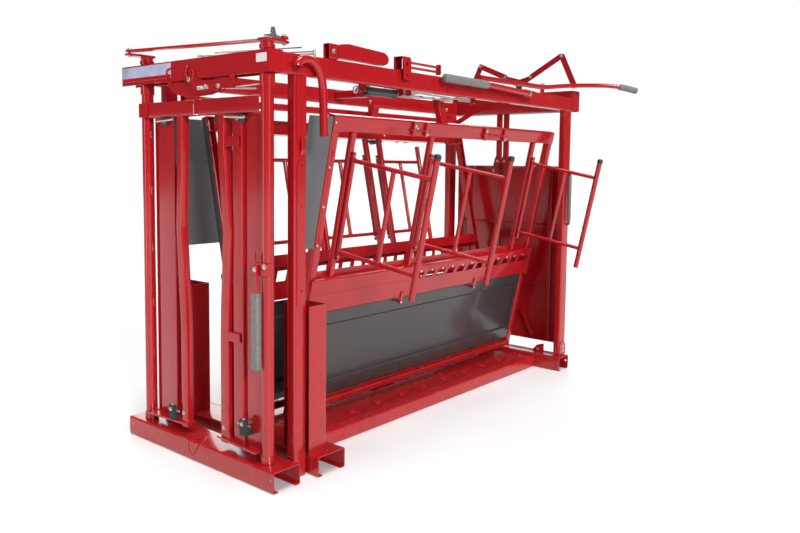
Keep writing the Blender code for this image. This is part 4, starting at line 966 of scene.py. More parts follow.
def leaf(side, f):
    y_end, y_in = (0.543, 0.345) if side == "near" else (WIDTH - 0.583, 0.366)
    neck = NECKS[side]
    y0 = PY + PR + 0.0004
    z0, z1 = 1.728, 1.806
    B = "leaf_" + side
    g = 0.002
    k = K().fold([(0.060, z0 + g), (0.012 + g, z0 + g), (0.012 + g, z1 - g), (0.060, z1 - g)], 0.004, 0.006, *ay(y0, y_end))
    piece("leaf_%s_head_rail" % side, f(k), RED, B, ["gate_leaf_" + side])
    if side == "near":
        k = K().plate([(0.500, z0 + .006), (0.5825, z0 + .006), (0.5825, z1 - .006), (0.500, z1 - .006)], 0.002, *ax(0.0163, 0.0193))
        piece("leaf_near_splice", k, RED, B, bevel=0.0006)
    # bent square neck tube
    path = fillet3([W(0.03825 if side == "near" else 0.03575, y, z) for y, z in neck], 0.16, 8)
    if side == "near":
        k = K().sweep(rsq(0.060, 0.0515, 0.010), path, (1, 0, 0), rsq(0.054, 0.0455, 0.007))
    else:
        k = K().sweep(rsq(0.050, 0.0465, 0.010), path, (1, 0, 0), rsq(0.044, 0.0405, 0.007))
    piece("leaf_%s_neck_tube" % side, f(k), RED, B)
    if side == "near":
        k = K().fold([(0.0375, 0.0865), (0.0375, 0.198), (0.0460, 0.203), (0.0460, 0.222)], 0.006, 0.005, *az(0.138, z0 + .001))
        piece("leaf_near_hinge_plate", k, RED, B)
        k = K().rtube(0.026, 0.052, 0.2205, 0.295, 0.1580, z0 + .0005, "z", 0.003, 0.006)
        piece("leaf_near_stile", k, RED, B)
        k = K()
        for za, zb in ((1.575, 1.622), (0.640, 0.688)):
            k.fold([(0.0165, za + .001), (0.0165, zb - .001), (0.028, zb - .001)], 0.0035, 0.004, *ay(0.235, y_in), n=3)
        piece("leaf_near_straps", k, RED, B)
    else:
        k = K().fold([(0.0630, 0.0865), (0.0630, 0.1520), (0.0375, 0.1525), (0.0375, 0.295)], 0.006, 0.005, *az(0.138, z0 + .001))
        piece("leaf_far_hinge_plate", f(k), RED, B)
        k = K().plate([(0.0240, z0 + .002), (0.0880, z0 + .002), (0.0880, z1 - .002), (0.0240, z1 - .002)], 0.006, *ax(0.0022, 0.0062))
        k.plate([(0.0022, 0.0855), (0.0145, 0.0855), (0.0145, 0.0915), (0.0022, 0.0915)], 0.001, *az(z0 + .0025, z1 - .0025), n=2)
        piece("leaf_far_post_strap", f(k), RED, B)
    o = [(-0.020, y0 + 0.001), (0.074, y0 + 0.001), (0.066, y_in + 0.058), (0.004, y_in + 0.058)]
    k = K().plate(o, 0.006, *az(0.1462, 0.1576))
    cut = K()
    drill(cut, W(0.006, 0.275, 0.152), (0, 0, 1), 0.007)
    piece("leaf_%s_foot_plate" % side, f(k), RED, B, cut=f(cut))
    # hardware and welds
    w = weld(B)
    nz = neck[0][0]
    for s_ in (-1, 1):
        w.bead([mp(W(x, nz + s_ * (0.0305 if side == "near" else 0.0255), z0 - .0006), side) for x in (0.016, 0.056)], 0.0028)
    w.bead([mp(W(0.0128, y, z0 - .0006), side) for y in (nz - .022, nz + .022)], 0.0028)
    w.bead([mp(W(0.0125, y, 0.1590), side) for y in (neck[-1][0] - .022, neck[-1][0] + .022)], 0.0030)
    w.bead([mp(W(0.034, y, 0.1590), side) for y in (0.090, 0.150)], 0.0028)
    w.bead([mp(W(0.034, y, z0 - .0008), side) for y in (0.092, 0.180)], 0.0026)
    if side == "near":
        for za, zb in ((1.575, 1.622), (0.640, 0.688)):
            w.bead([W(0.0150, 0.2345, z) for z in (za + .004, zb - .004)], 0.0026)
    h = hard(B)
    h.hexhead(mp(W(0.0120, neck[-1][0], 0.205), side), (-1, 0, 0), 0.0075, 0.0055)
    # bumper
    yb0, zb0, xb1 = (0.160, 0.212, 0.0341) if side == "near" else (0.288, 0.1584, 0.022)
    yb1 = yb0 + .045
    k = K().plate([(-0.014, yb0), (xb1, yb0), (xb1, yb1), (-0.014, yb1)], 0.007, *az(zb0, zb0 + .038))
    k.plate([(-0.014, yb0), (0.010, yb0), (0.010, yb1), (-0.014, yb1)], 0.006, *az(zb0 + .036, zb0 + .0766))
    piece("bumper_%s_block" % side, f(k), RUBBER, B, ["gate_bumper_" + side], bevel=0.003, seg=3)
    h.hexhead(mp(W(-0.014, yb0 + .0225, zb0 + .056), side), (-1, 0, 0), 0.007, 0.005)
    h.hexhead(mp(W(-0.002, yb0 + .0225, zb0 + .0766), side), (0, 0, 1), 0.0065, 0.004)
    bz_ = K().pipe([W(0.004, yb0 + .001, zb0 + .050), W(0.004, yb0 - .020, zb0 + .050)], 0.006, 16)
    bz_.pipe([W(0.004, yb1 - .001, zb0 + .050), W(0.004, yb1 + .030, zb0 + .050)], 0.006, 16)
    piece("bumper_%s_pin" % side, f(bz_), ZINC, B, bevel=0.0008)
    # latch dog under the head rail
    k = K().plate([(y_end - .185, z0 - .045), (y_end - .130, z0 - .052), (y_end - .105, z0 - .030), (y_end - .110, z0 - .001), (y_end - .185, z0 - .001)], 0.007, *ax(0.030, 0.042))
    k.pipe([W(0.022, y_end - .150, z0 - .026), W(0.060, y_end - .150, z0 - .026)], 0.010, 18)
    k.plate([(0.196, z0 - .046), (0.250, z0 - .038), (0.262, z0 - .016), (0.250, z0 - .001), (0.205, z0 - .001)], 0.008, *ax(0.020, 0.030))
    piece("leaf_%s_latch_dog" % side, f(k), BLACK, B, bevel=0.002)
    k = K().pipe([W(0.012, 0.180, z0 - .020), W(0.012, 0.330, z0 - .012)], 0.0075, 18)
    k.pipe([W(0.006, 0.238, z0 - .024), W(0.022, 0.238, z0 - .024)], 0.0105, 6)
    piece("leaf_%s_dog_pin" % side, f(k), ZINC, B, bevel=0.0008)


two(leaf)
HLY = 0.079
lg = K().plate([(0.0200, 0.986), (0.1055, 0.986), (0.1055, 1.044), (0.0200, 1.044)], 0.006, *ax(-0.0040, 0.0040))
lg.plate([(-0.0036, 0.987), (0.0360, 0.987), (0.0360, 1.043), (-0.0036, 1.043)], 0.004, lambda x, z: W(x, 0.0870, z), lambda x, z: W(x, 0.1050, z))
lg.plate([(-0.0036, 0.987), (0.0400, 0.987), (0.0400, 1.043), (-0.0036, 1.043)], 0.004, lambda x, z: W(x, 0.0170, z), lambda x, z: W(x, 0.0215, z))
for yy in (0.060, 0.098):
    lg.plate([(yy - .003, 1.040), (yy + .003, 1.040), (yy + .003, 1.086), (yy - .003, 1.098)], 0.002, *ax(-0.0035, 0.0045), n=2)
piece("hand_lever_lug", lg, RED, "leaf_near", bevel=0.0008)
hard("leaf_near").hexhead(W(-0.0040, 0.030, 1.030), (-1, 0, 0), 0.0085, 0.006)
hl = K().plate([(HLY - .012, 0.552), (HLY + .012, 0.552), (HLY + .012, 1.034), (HLY - .012, 1.034)], 0.008, *ax(-0.0195, -0.0070))
piece("hand_lever_bar", hl, RED, "hand_lever", ["gate_hand_lever"])
gr = K().sweep(rsq(0.048, 0.0265, 0.0085, 5), [W(-0.0135, HLY, z) for z in (0.5485, 0.552, 0.72, 0.901, 0.9045)], (1, 0, 0))
piece("hand_lever_sleeve", gr, VINYL, "hand_lever", ["gate_hand_grip"], bevel=0.0035, seg=4)
hard("hand_lever").hexhead(W(-0.0195, HLY, 1.015), (-1, 0, 0), 0.0085, 0.0055)

# pawl and its mechanism under the head beam
pw = K().plate([(0.440, 1.885), (0.440, 1.852), (0.500, 1.838), (0.575, 1.838), (0.590, 1.855), (0.560, 1.878), (0.500, 1.890)], 0.008, *ax(0.0305, 0.0435))
cut = K(); drill(cut, W(0.037, 0.470, 1.868), (1, 0, 0), 0.0104, 0.03)
for yy in (0.52, 0.548):
    drill(cut, W(0.037, yy, 1.862), (1, 0, 0), 0.006, 0.03)
piece("latch_pawl_plate", pw, RED, "latch_pawl", ["head_latch_pawl"], cut=cut)

# crook handle
ck = [(0.140, 1.936), (0.146, 1.950), (0.165, 1.966), (0.200, 1.975), (0.235, 1.969), (0.266, 1.948), (0.288, 1.915), (0.300, 1.870), (0.306, 1.800), (0.311, 1.626)]
kk = K().pipe(smooth_path([W(x, -0.030, z) for x, z in ck], 6), 0.0200, 32, 0.0165)
kk.pipe([W(0.155, -0.020, 1.957), W(0.155, -0.0006, 1.957)], 0.014, 24)
piece("crook_pipe", kk, RED, "crook_handle", ["head_crook_handle"], bevel=0.0008)
weld("crook_handle").ring_bead(W(0.155, -0.0125, 1.957), (0, 1, 0), 0.0150, 0.0028)

# strip and hook on the outer face of the near corner post
st_ = K().plate([(0.160, 1.640), (0.172, 1.606), (0.196, 1.598), (0.214, 1.612), (0.222, 1.650), (0.222, 1.9010), (0.160, 1.9010)], 0.010, lambda x, z: W(x, -0.0055, z), lambda x, z: W(x, -0.0006, z))
cut = K()
drill(cut, W(0.196, -0.003, 1.626), (0, 1, 0), 0.006, 0.02)
piece("corner_strip", st_, RED, "frame", cut=cut, bevel=0.0012)
hk = K().fold([(-0.0030, 1.640), (-0.0095, 1.612), (-0.0095, 1.560), (-0.0030, 1.540)], 0.004, 0.006, *ax(0.184, 0.208))
piece("corner_hook", hk, RED, "frame", bevel=0.0008)
sp_ = K().plate([(0.166, 0.826), (0.216, 0.826), (0.220, 1.486), (0.206, 1.516), (0.180, 1.510), (0.166, 1.486)], 0.008, lambda x, z: W(x, -0.0045, z), lambda x, z: W(x, -0.0006, z))
cut = K()
for z in (0.90, 1.30, 1.49):
    drill(cut, W(0.192, -0.003, z), (0, 1, 0), 0.006, 0.02)
piece("corner_lower_strip", sp_, RED, "frame", cut=cut, bevel=0.0012)
weld("frame").bead([W(x, -0.0012, 1.8995) for x in (0.163, 0.219)], 0.003)

# ---------------------------------------------------------------- squeeze sides
TAU = radians(12)
UP = Vector((0, -sin(TAU), cos(TAU)))
OUT = Vector((0, -cos(TAU), -sin(TAU)))


def S(st, s, off):
    return W(st, 0.096, 1.745) - UP * s + OUT * off


def sx(x0, x1):
    return (lambda s, o: S(x0, s, o)), (lambda s, o: S(x1, s, o))


def ss(s0, s1):
    return (lambda x, o: S(x, s0, o)), (lambda x, o: S(x, s1, o))


def so(o0, o1):
    return (lambda x, s: S(x, s, o0)), (lambda x, s: S(x, s, o1))


X0S = {"near": 0.515, "far": 0.345}
X1 = 2.800
GS = (0.230, 0.735)
GW = 0.469
BARS = {"near": (0.685, 1.360, 2.550), "far": (0.685, 1.660, 1.800)}
GATES = {"near": ((0.685, 1, 76), (1.360, 1, 71), (2.550, -1, 100)), "far": ((0.685, 1, 0), (1.660, -1, 0), (1.800, 1, 0))}


def squeeze(side, f):
    B = "side_" + side
    X0 = X0S[side]
    D = 0.050
    g = 0.002
    k = K().fold([(g, -D), (g, -g), (0.085 - g, -g), (0.085 - g, -D)], 0.004, 0.007, *sx(X0, X1))
    cut = K()
    for x in (0.54, 1.20, 1.90, 2.77):
        drill(cut, S(x, 0.042, 0), OUT, 0.006, 0.02)
    piece("side_%s_top_rail" % side, f(k), RED, B, ["squeeze_side_" + side], cut=f(cut))
    for nm, xa, xb in (("front", X0 + .0005, X0 + .050), ("rear", X1 - .050, X1 - .0005)):
        k = K().fold([(xa + g, -D + .0008), (xa + g, -g - .0008), (xb - g, -g - .0008), (xb - g, -D + .0008)], 0.004, 0.007, *ss(0.002, 1.675))
        piece("side_%s_%s_member" % (side, nm), f(k), RED, B)
    k = K().fold([(1.636, -D + .002), (1.636, -0.003), (1.674, -0.003), (1.674, -D + .002)], 0.004, 0.006, *sx(X0 + .001, X1 - .001))
    piece("side_%s_bottom_member" % side, f(k), RED, B)
    # sill: a folded shelf with a slotted band and a front face
    st0, lip, sf = (0.850, 0.928, 1.405) if side == "near" else (0.812, 0.905, X0 + .050)
    k = K().fold([(st0, -0.0385), (0.8822, -0.0385), (0.8822, 0.0185), (lip, 0.0185)], 0.004, 0.005, *sx(X0 + .001, X1 - .001))
    piece("side_%s_sill_shelf" % side, f(k), RED, B)
    k = K().fold([(0.966, 0.0185), (1.0698, 0.0185), (1.0698, -0.040)], 0.004, 0.005, *sx(X0 + .001, X1 - .001))
    piece("side_%s_sill_face" % side, f(k), RED, B)
    k = K()
    if sf > X0 + .06:
        k.plate([(X0 + .049, lip - .003), (sf, lip - .003), (sf, 0.969), (X0 + .049, 0.969)], 0.002, *so(0.0148, 0.0193), n=2)
    for i in range(-int((1.445 - sf) / .111), 12):
        c = 1.445 + .111 * (i + .5)
        if c - .033 > sf and c + .033 < X1 - .047:
            k.plate([(c - .003, lip - .004), (c + .033, lip - .004), (c + .003, 0.9695), (c - .033, 0.9695)], 0.002, *so(0.0148, 0.0193), n=2)
    for xa in (X0 + .002, X1 - .049):
        k.plate([(xa, 0.882), (xa + .047, 0.882), (xa + .047, 1.070), (xa, 1.070)], 0.004, *so(-0.003, 0.0198), n=2)
    k.fold([(X1 - .0455, 0.0208), (X1 - .003, 0.0208), (X1 - .003, 0.0010)], 0.003, 0.006, *ss(0.865, 1.085), n=4)
    piece("side_%s_sill_straps" % side, f(k), RED, B, bevel=0.0008)
    h, w = hard(B), weld(B)
    for i in range(12):
        h.hexhead(mp(S(1.445 + .111 * i + .008, lip - .006, 0.0205), side), mp(OUT, side), 0.0058, 0.005)
    # upright bars and hinge knuckles
    k, kn = K(), K()
    for xb in BARS[side]:
        k.sweep(rsq(0.032, 0.032, 0.005), [S(xb, 0.082, -0.021), S(xb, 0.882, -0.021)], (1, 0, 0))
        for sk in (GS[0] - .034, GS[1] + .034):
            kn.pipe([S(xb, sk - .010, 0.012), S(xb, sk + .010, 0.012)], 0.0112, 20)
            kn.plate([(-0.008, sk - .0085), (0.008, sk - .0085), (0.008, sk + .0085), (-0.008, sk + .0085)], 0.002,
                     *((lambda o, s, xx=xb: S(xx - .005, s, o)), (lambda o, s, xx=xb: S(xx + .005, s, o))), n=2)
            w.bead([mp(S(xb - .011, sk + dz, -0.0045), side) for dz in (-.008, .008)], 0.0024)
        w.bead([mp(S(x, 0.0862, -0.0052), side) for x in (xb - .014, xb + .014)], 0.0026)
        w.bead([mp(S(x, 0.8795, -0.0052), side) for x in (xb - .014, xb + .014)], 0.0026)
    piece("side_%s_bars" % side, f(k), RED, B)
    piece("side_%s_knuckles" % side, f(kn), RED, B, bevel=0.0006)
    for xl in (X0 + .115, X1 - .125):
        lug = K().pipe([S(xl, 1.655, -0.025), S(xl + .030, 1.655, -0.025)], 0.0104, 20)
        lug.plate([(1.638, -0.044), (1.672, -0.044), (1.672, -0.004), (1.638, -0.004)], 0.004, *sx(xl + .011, xl + .018))
        piece("side_%s_pivot_%s" % (side, "a" if xl < 1.5 else "b"), f(lug), RED, B, bevel=0.0006)
    # hanger arm
    hx = 1.420 if side == "near" else 1.700
    k = K().plate([(0.003, -0.046), (0.003, -0.002), (-0.136, -0.074), (-0.140, -0.118)], 0.004, lambda a_, b_: S(hx, a_, b_), lambda a_, b_: S(hx + .060, a_, b_))
    piece("side_%s_hanger" % side, f(k), RED, B)
    w.bead([mp(S(hx + .005 + t * .050, -0.0012, -0.0035), side) for t in (0, 1)], 0.003)
    # spring-latch brackets on the top rail
    k = K()
    zk = K()
    sets = ((1.130, 1.285), (1.860, 2.130)) if side == "near" else ((0.98, 1.115), (2.02, 2.15))
    for xa, xb in sets:
        for x in (xa + .010, xb - .030):
            k.fold([(x, 0.0045), (x, 0.016), (x + .026, 0.016), (x + .026, 0.0045)], 0.0032, 0.004, *ss(-0.004 + 0.006, 0.085), n=3)
        zk.pipe([S(xa - .012, 0.050, 0.0100), S(xb + .020, 0.050, 0.0100)], 0.0045, 16)
        k.plate([(xb - .004, 0.040), (xb + .030, 0.040), (xb + .030, 0.062), (xb + .014, 0.085), (xb - .004, 0.085)], 0.005, *so(0.0005, 0.0045))
        h.hexhead(mp(S(xa + .023, 0.026, 0.0176), side), mp(OUT, side), 0.0070, 0.005)
        h.hexhead(mp(S(xb - .017, 0.070, 0.0176), side), mp(OUT, side), 0.0070, 0.005)
    piece("side_%s_latch_brackets" % side, f(k), RED, B, bevel=0.0006)
    piece("side_%s_latch_rods" % side, f(zk), RED, B, bevel=0.0005)
    if side == "far":
        k = K()
        for xa, hh in ((1.640, .110), (1.705, .118), (1.775, .106)):
            k.plate([(xa, 0.088), (xa + .050, 0.088), (xa + .054, hh - .006), (xa + .030, hh), (xa, hh - .003)], 0.006, *so(-0.036, -0.016))
        piece("side_far_latch_blocks", f(k), BLACK, B, bevel=0.0015)
    for s_ in (0.090, 0.870, 1.070, 1.632):
        for xa in (X0 + .006, X1 - .046):
            w.bead([mp(S(xa, s_, -0.0010), side), mp(S(xa + .040, s_, -0.0010), side)], 0.0026)
    # shoulder sheet
    x0, x1 = (0.345 if side == "near" else 0.140), X0 - 0.0006
    k = K().fold([(x0, -0.0055), (x1 - .0015, -0.0055), (x1 - .0015, -0.045)], 0.003, 0.005, *ss(0.012, 0.705))
    piece("shoulder_%s_skin" % side, f(k), GREY, B, ["shoulder_sheet_" + side], bevel=0.0006)
    hd = K()
    for s_ in (0.040, 0.270, 0.480, 0.690):
        hd.pipe([S(X0 + .014, s_, -0.0008), S(X0 + .014, s_, 0.0030)], 0.0085, 20, dome=True)
    piece("shoulder_%s_rivets" % side, f(hd), ZINC, B, bevel=0.0)


two(squeeze)


def drop(side, f):
    B = "panel_" + side
    X0 = X0S[side]
    s0, s1 = 1.0786, 1.6276
    line = [(s0, -0.032), (s0 + .003, -0.0096), (s0 + .082, -0.0096), (s0 + .094, -0.0215), (s1 - .122, -0.0215), (s1 - .110, -0.0096), (s1 - .030, -0.0096), (s1 - .002, -0.032)]
    k = K().fold(line, 0.003, 0.006, *sx(X0 + .053, X1 - .053), n=5)
    piece("drop_%s_skin" % side, f(k), BLACK, B, ["drop_panel_" + side], bevel=0.0006)
    # folded end returns that stiffen the sheet
    k = K()
    for x, sg in ((X0 + .0535, 1), (X1 - .0535, -1)):
        k.plate([(s0 + .004, -0.031), (s1 - .004, -0.031), (s1 - .034, -0.0085), (s0 + .004, -0.0085)], 0.002, *sx(x, x + sg * .003))
    for x in (X0 + .0570, X1 - .0890):
        k.plate([(x, s0 + .078), (x + .032, s0 + .078), (x + .032, s1 - .106), (x, s1 - .106)], 0.003, *so(-0.0225, -0.0100))
    piece("drop_%s_ends" % side, f(k), BLACK, B, bevel=0.0008)
    # stiffening swages, end ribs and hinge leaves
    k = K()
    for x in (X0 + .085, X1 - .085):
        k.pipe([S(x, s0 + .110, -0.0205), S(x, s1 - .136, -0.0205)], 0.0035, 10, dome=True)
    for i in range(7):
        x = X0 + .20 + i * 0.31
        k.pipe([S(x, s1 + .0005, -0.0085), S(x + .060, s1 + .0005, -0.0085)], 0.0045, 14)
    piece("drop_%s_hinges" % side, f(k), BLACK, B, bevel=0.0004)
    for j, x in enumerate((1.295, 2.080), 1):
        T = "turn_latch_%s_%d" % (side, j)
        k = K().plate([(x - .011, 1.038), (x + .011, 1.038), (x + .013, 1.100), (x + .006, 1.117), (x - .006, 1.117), (x - .013, 1.100)], 0.005, *so(0.0226, 0.0280))
        k.pipe([S(x, 1.102, -0.0074), S(x, 1.102, 0.0255)], 0.0083, 20)
        piece("turn_latch_%s_%d_tab" % (side, j), f(k), RED, T, ["drop_latch_%s_%d" % (side, j)])
        hard(T).hexhead(mp(S(x, 1.102, 0.0280), side), mp(OUT, side), 0.0070, 0.005, False)


two(drop)


def gates(side, f):
    for j, (xh, sg, phi) in enumerate(GATES[side], 1):
        B = "side_gate_%s_%d" % (side, j)
        a = radians(phi)
        d = Vector((sg, 0, 0)) * cos(a) + OUT * sin(a)

        def G(w_, s_):
            return S(xh, s_, 0.012) + d * w_
        sa, sb = GS
        k = K()
        k.pipe([G(0, sa - .020), G(0, sb + .020)], 0.0125, 24, 0.0098)
        k.pipe([G(GW, 0.112), G(GW, 0.872)], 0.0165, 28, 0.0140)
        k.pipe([G(GW * .52, sa), G(GW * .52, sb)], 0.0125, 24)
        k.pipe([G(0.004, sa), G(GW - .004, sa)], 0.0122, 24)
        k.pipe([G(0.004, sb), G(GW - .004, sb)], 0.0122, 24)
        piece("side_gate_%s_%d_tubes" % (side, j), f(k), RED, B, ["access_gate_%s_%d" % (side, j)], bevel=0.0006)
        w = weld(B)
        dd = mp(d, side)
        for s_ in GS:
            w.ring_bead(mp(G(GW - .0165, s_), side), dd, 0.0124, 0.0026)
            w.ring_bead(mp(G(.0130, s_), side), dd, 0.0124, 0.0026)
        for s_, q in ((sa + .0125, 1), (sb - .0125, -1)):
            w.ring_bead(mp(G(GW * .52, s_), side), mp(UP, side), 0.0126, 0.0026)
        if side == "near":
            c = K().pipe([G(GW, 0.128), G(GW, 0.1095)], 0.0186, 28, 0.0166)
            c.pipe([G(GW, 0.1125), G(GW, 0.1075)], 0.0186, 28, dome=True)
            piece("side_gate_%s_%d_cap" % (side, j), f(c), CAP, B, bevel=0.001)
        z = K().pipe([G(0, sa - .047), G(0, sa - .0215)], 0.0055, 16)
        z.pipe([G(0, sb + .0215), G(0, sb + .047)], 0.0055, 16)
        piece("side_gate_%s_%d_pins" % (side, j), f(z), ZINC, B, bevel=0.0006)


two(gates)

# ---------------------------------------------------------------- squeeze lever
LY = -0.052
sq = K().pipe(fillet3([W(1.245, LY, 1.986), W(1.70, LY, 1.984), W(2.150, LY, 1.971)], 0.5, 6), 0.0185, 28, 0.0155)
sq.plate([(2.080, 1.950), (2.236, 1.946), (2.240, 1.990), (2.080, 1.996)], 0.016, lambda x, z: W(x, LY - .006, z), lambda x, z: W(x, LY + .006, z))
sq.pipe([W(2.170, LY + .004, 1.972), W(2.170, -0.0006, 1.972)], 0.0118, 24)
piece("squeeze_lever_pipe", sq, RED, "squeeze_arm", ["squeeze_lever"], bevel=0.001)
gp = K().pipe([W(1.240, LY, 1.9863), W(1.45, LY, 1.9853), W(1.660, LY, 1.98415)], 0.0240, 32, dome=True)
for i in range(3):
    x = 1.655 - i * 0.006
    gp.pipe([W(x - .0015, LY, 1.9842), W(x + .0015, LY, 1.9842)], 0.0248, 32)
piece("squeeze_lever_sleeve", gp, VINYL, "squeeze_arm", ["squeeze_lever_grip"], bevel=0.0008)
hard("squeeze_arm").hexhead(W(2.170, LY - .006, 1.972), (0, -1, 0), 0.0115, 0.008)

# ---------------------------------------------------------------- tailgate
def tail(side, y0, y1, hy):
    B = "tail_half_" + side
    k = K().fold([(2.882, y0 + .002), (2.9015, y0 + .002), (2.9015, y1 - .002), (2.882, y1 - .002)], 0.003, 0.004, *az(0.166, 1.499))
    piece("tail_%s_skin" % side, k, RED, B, ["tailgate_" + side], bevel=0.0006)
    k = K()
    for z in (0.1665, 0.60, 1.05, 1.4965):
        k.fold([(2.884, z), (2.8995, z), (2.8995, z + (0.020 if z < 1.4 else -0.020))], 0.0025, 0.004, *ay(y0 + .004, y1 - .004), n=3)
    piece("tail_%s_ribs" % side, k, RED, B, bevel=0.0005)
    st = 0.148 if side == "near" else 0.889
    k = K().plate([(2.8800, st), (2.8990, st), (2.8990, st + .038), (2.8800, st + .038)], 0.006, *az(0.1665, 1.4985))
    piece("tail_%s_stile" % side, k, RED, B)
    if side == "near":
        k = K().plate([(0.262, 0.1700), (0.292, 0.1700), (0.400, 0.385), (0.372, 0.398)], 0.004, *ax(2.8800, 2.8835))
        piece("tail_near_brace", k, RED, B, bevel=0.0006)
    k = K().rtube(2.9045, 2.934, hy - .020, hy + .020, 1.300, 1.927, "z", 0.003, 0.005)
    k.plate([(hy - .046, 1.455), (hy + .046, 1.455), (hy + .022, 1.575), (hy - .022, 1.575)], 0.006, *ax(2.9032, 2.9048 + .003))
    piece("tail_%s_hanger" % side, k, RED, B)
    k = K()
    k.plate([(2.9030, hy - .029), (2.9360, hy - .029), (2.9360, hy + .029), (2.9030, hy + .029)], 0.004, *az(1.9262, 1.932))
    for yy in (hy - .016, hy + .016):
        k.pipe([W(2.9085, yy, 1.9450), W(2.9305, yy, 1.9450)], 0.0135, 24)
    piece("tail_%s_trolley" % side, k, ZINC, B, bevel=0.001)
    gk = K().plate([(hy - .055, 1.440), (hy + .055, 1.440), (hy + .040, 1.500), (hy + .024, 1.560), (hy - .024, 1.560), (hy - .040, 1.500)], 0.006, *ax(2.8965, 2.8996))
    piece("tail_%s_gusset" % side, gk, RED, B, bevel=0.0006)
    h = hard(B)
    for dy in (-.034, .034):
        h.hexhead(W(2.8965, hy + dy, 1.462), (-1, 0, 0), 0.0070, 0.005)
    h.hexhead(W(2.8965, hy, 1.535), (-1, 0, 0), 0.0070, 0.005)
    weld(B).bead([W(2.9345, y, 1.4985) for y in (hy - .018, hy + .018)], 0.003)


tail("near", 0.062, 0.612, 0.585)
tail("far", 0.618, 1.012, 0.648)

LEV = [(1.690, 0.022, 2.036), (2.100, 0.022, 2.040), (2.466, 0.022, 2.044), (2.640, -0.004, 2.062), (2.800, -0.050, 2.078), (2.930, -0.118, 2.086), (3.030, -0.196, 2.088), (3.110, -0.275, 2.078), (3.180, -0.350, 2.056)]
lv = smooth_path([W(*p) for p in LEV], 6)
tl = K().sweep(rsq(0.033, 0.030, 0.009, 4), [q for q in lv if q.x <= 3.10 - MID], (0, 0, 1))
tl.pipe([W(2.466, 0.022, 2.050), W(2.466, 0.022, 2.0006)], 0.014, 24)
piece("tail_lever_bar", tl, RED, "tail_arm", ["tailgate_lever"], bevel=0.0008)
tip = [q for q in lv if q.x >= 3.085 - MID]
piece("tail_lever_sleeve", K().pipe(tip, 0.0225, 32, dome=True), VINYL, "tail_arm", ["tailgate_lever_grip"], bevel=0.0)
hard("tail_arm").hexhead(W(2.466, 0.022, 2.0590), (0, 0, 1), 0.0120, 0.008)


def bar(p, q, x0, x1, w=0.034, over=0.016):
    p, q = Vector(p), Vector(q)
    d = (q - p).normalized()
    n = Vector((-d.y, d.x)) * w / 2
    p, q = p - d * over, q + d * over
    return K().plate([p + n, p - n, q - n, q + n], w * 0.46, *ax(x0, x1), n=8)


NB, NA, NR = (0.022, 2.090), (0.130, 2.318), (0.385, 2.178)
FB, FA, FR = (0.950, 2.090), (0.850, 2.292), (0.610, 2.190)
rk = K().plate([(NR[0] - .020, NR[1] + .016), (NR[0] - .020, NR[1] - .016), (RK[0], RK[1] - .028), (FR[0] + .020, FR[1] - .016), (FR[0] + .020, FR[1] + .016), (RK[0], RK[1] + .040)],
               0.012, *ax(LX - .004, LX + .002), n=5)
cut = K(); drill(cut, W(LX, *RK), (1, 0, 0), 0.0093)
piece("rocker_plate", rk, RED, "tail_rocker", ["tailgate_rocker"], cut=cut)
hard("tail_rocker").hexhead(W(LX - .004, *NR), (-1, 0, 0), 0.0090, 0.006)
hard("tail_rocker").hexhead(W(LX - .004, *FR), (-1, 0, 0), 0.0090, 0.006)
for nm, base, apex, rock in (("near", NB, NA, NR), ("far", FB, FA, FR)):
    c = bar(base, apex, LX + .014, LX + .022, 0.044)
    c.pipe([W(LX + .0035, *apex), W(LX + .018, *apex)], 0.007, 18)
    c.pipe([W(LX + .018, *base), W(LX + .046, *base)], 0.009, 18)
    piece("crank_%s_bar" % nm, c, RED, "tail_crank_" + nm, ["tailgate_crank_" + nm])
    hard("tail_crank_" + nm).hexhead(W(LX + .0035, *apex), (-1, 0, 0), 0.0090, 0.006)
    hard("tail_crank_" + nm).hexhead(W(LX + .0140, *base), (-1, 0, 0), 0.0100, 0.006)
    l_ = bar(apex, rock, LX + .0045, LX + .0115, 0.042, 0.014)
    cut = K(); drill(cut, W(LX + .008, *apex), (1, 0, 0), 0.0084)
    piece("link_%s_bar" % nm, l_, RED, "tail_link_" + nm, ["tailgate_link_" + nm], cut=cut)
    hard("tail_link_" + nm).hexhead(W(LX + .0115, *rock), (1, 0, 0), 0.0090, 0.002, False)

# ---------------------------------------------------------------- welds and fixings
for body, k in WELD.items():
    if k.s:
        piece("welds_" + body, k, RED, body, bevel=0.0)
for body, k in HARD.items():
    if k.s:
        piece("fixings_" + body, k, ZINC, body, bevel=0.0004, seg=1)

# ====================================================================== studio
fm, nt, b = _mat("studio_floor")
tc = nt.nodes.new("ShaderNodeTexCoord").outputs["Object"]
nt.links.new(_ramp(nt, _noise(nt, tc, 1.5, 2.0), [(0.3, (0.83, 0.83, 0.83)), (0.7, (0.85, 0.85, 0.85))]), b.inputs["Base Color"])
b.inputs["Roughness"].default_value = 0.6
bpy.ops.mesh.primitive_plane_add(size=60, location=(0, 0, 0))
floor = bpy.context.object
floor.name = "studio_floor"
floor.data.materials.append(fm)

world = bpy.data.worlds.new("studio")
SCN.world = world
world.use_nodes = True
wn = world.node_tree
bg = wn.nodes["Background"]
bg.inputs["Color"].default_value = (1.0, 1.0, 1.0, 1)
bg.inputs["Strength"].default_value = 1.0
dim = wn.nodes.new("ShaderNodeBackground")
dim.inputs["Color"].default_value = (1.0, 0.99, 0.98, 1)
dim.inputs["Strength"].default_value = 0.12
lp_ = wn.nodes.new("ShaderNodeLightPath")
mx_ = wn.nodes.new("ShaderNodeMixShader")
wn.links.new(lp_.outputs["Is Camera Ray"], mx_.inputs[0])
wn.links.new(dim.outputs[0], mx_.inputs[1])
wn.links.new(bg.outputs[0], mx_.inputs[2])
wn.links.new(mx_.outputs[0], wn.nodes["World Output"].inputs["Surface"])


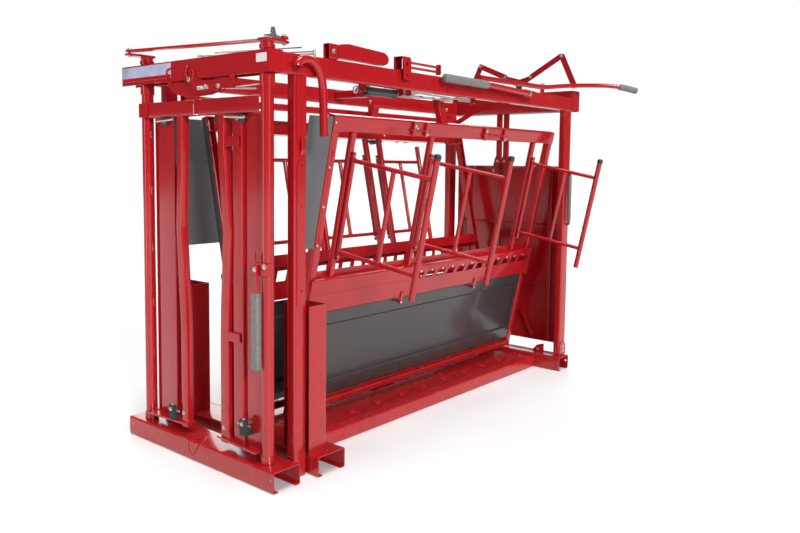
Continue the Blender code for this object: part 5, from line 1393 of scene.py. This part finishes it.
def sun(name, direction, power, angle):
    l_ = bpy.data.lights.new(name, "SUN")
    l_.energy = power
    l_.angle = radians(angle)
    o = bpy.data.objects.new(name, l_)
    SCN.collection.objects.link(o)
    o.rotation_euler = Vector(direction).to_track_quat("-Z", "Y").to_euler()
    return o


def softbox(name, loc, target, w_, h_, power):
    l_ = bpy.data.lights.new(name, "AREA")
    l_.shape = "RECTANGLE"
    l_.size, l_.size_y = w_, h_
    l_.energy = power
    o = bpy.data.objects.new(name, l_)
    SCN.collection.objects.link(o)
    o.location = loc
    o.rotation_euler = (Vector(target) - Vector(loc)).to_track_quat("-Z", "Y").to_euler()
    return o


sun("overhead", (0.06, 0.12, -1.0), 2.40, 32)
sun("front", (0.34, 0.90, -0.42), 2.60, 14)
sun("rear", (-0.60, -0.62, -0.50), 1.10, 40)
softbox("strip_head", (-4.6, 1.2, 1.9), (-1.4, 0, 1.1), 0.5, 3.2, 26)
softbox("strip_side", (-1.6, -4.8, 2.3), (-0.2, 0, 1.0), 0.5, 3.2, 18)

YAW, PITCH, ROLL = 0.877965, 0.079655, 0.011718
fwd = Vector((sin(YAW) * cos(PITCH), cos(YAW) * cos(PITCH), -sin(PITCH)))
right = Vector((cos(YAW), -sin(YAW), 0))
up = right.cross(fwd)
r2 = right * cos(ROLL) + up * sin(ROLL)
u2 = -right * sin(ROLL) + up * cos(ROLL)
cam = bpy.data.cameras.new("photo_camera")
cam.sensor_width = 36.0
cam.lens = 757.642 * 36.0 / 800.0
cam.shift_x = 0.0
cam.shift_y = (225.07 - 266.5) / 800.0
cam.clip_start = 0.05
co = bpy.data.objects.new("photo_camera", cam)
SCN.collection.objects.link(co)
M4 = Matrix.Identity(4)
for i, c in enumerate((r2, u2, -fwd)):
    for j in range(3):
        M4[j][i] = c[j]
M4.translation = Vector((-2.22803 - MID, -2.61116 - HALF, 1.49863))
co.matrix_world = M4
SCN.camera = co
try:
    SCN.view_settings.view_transform = "Standard"
    SCN.view_settings.look = "None"
except TypeError:
    pass
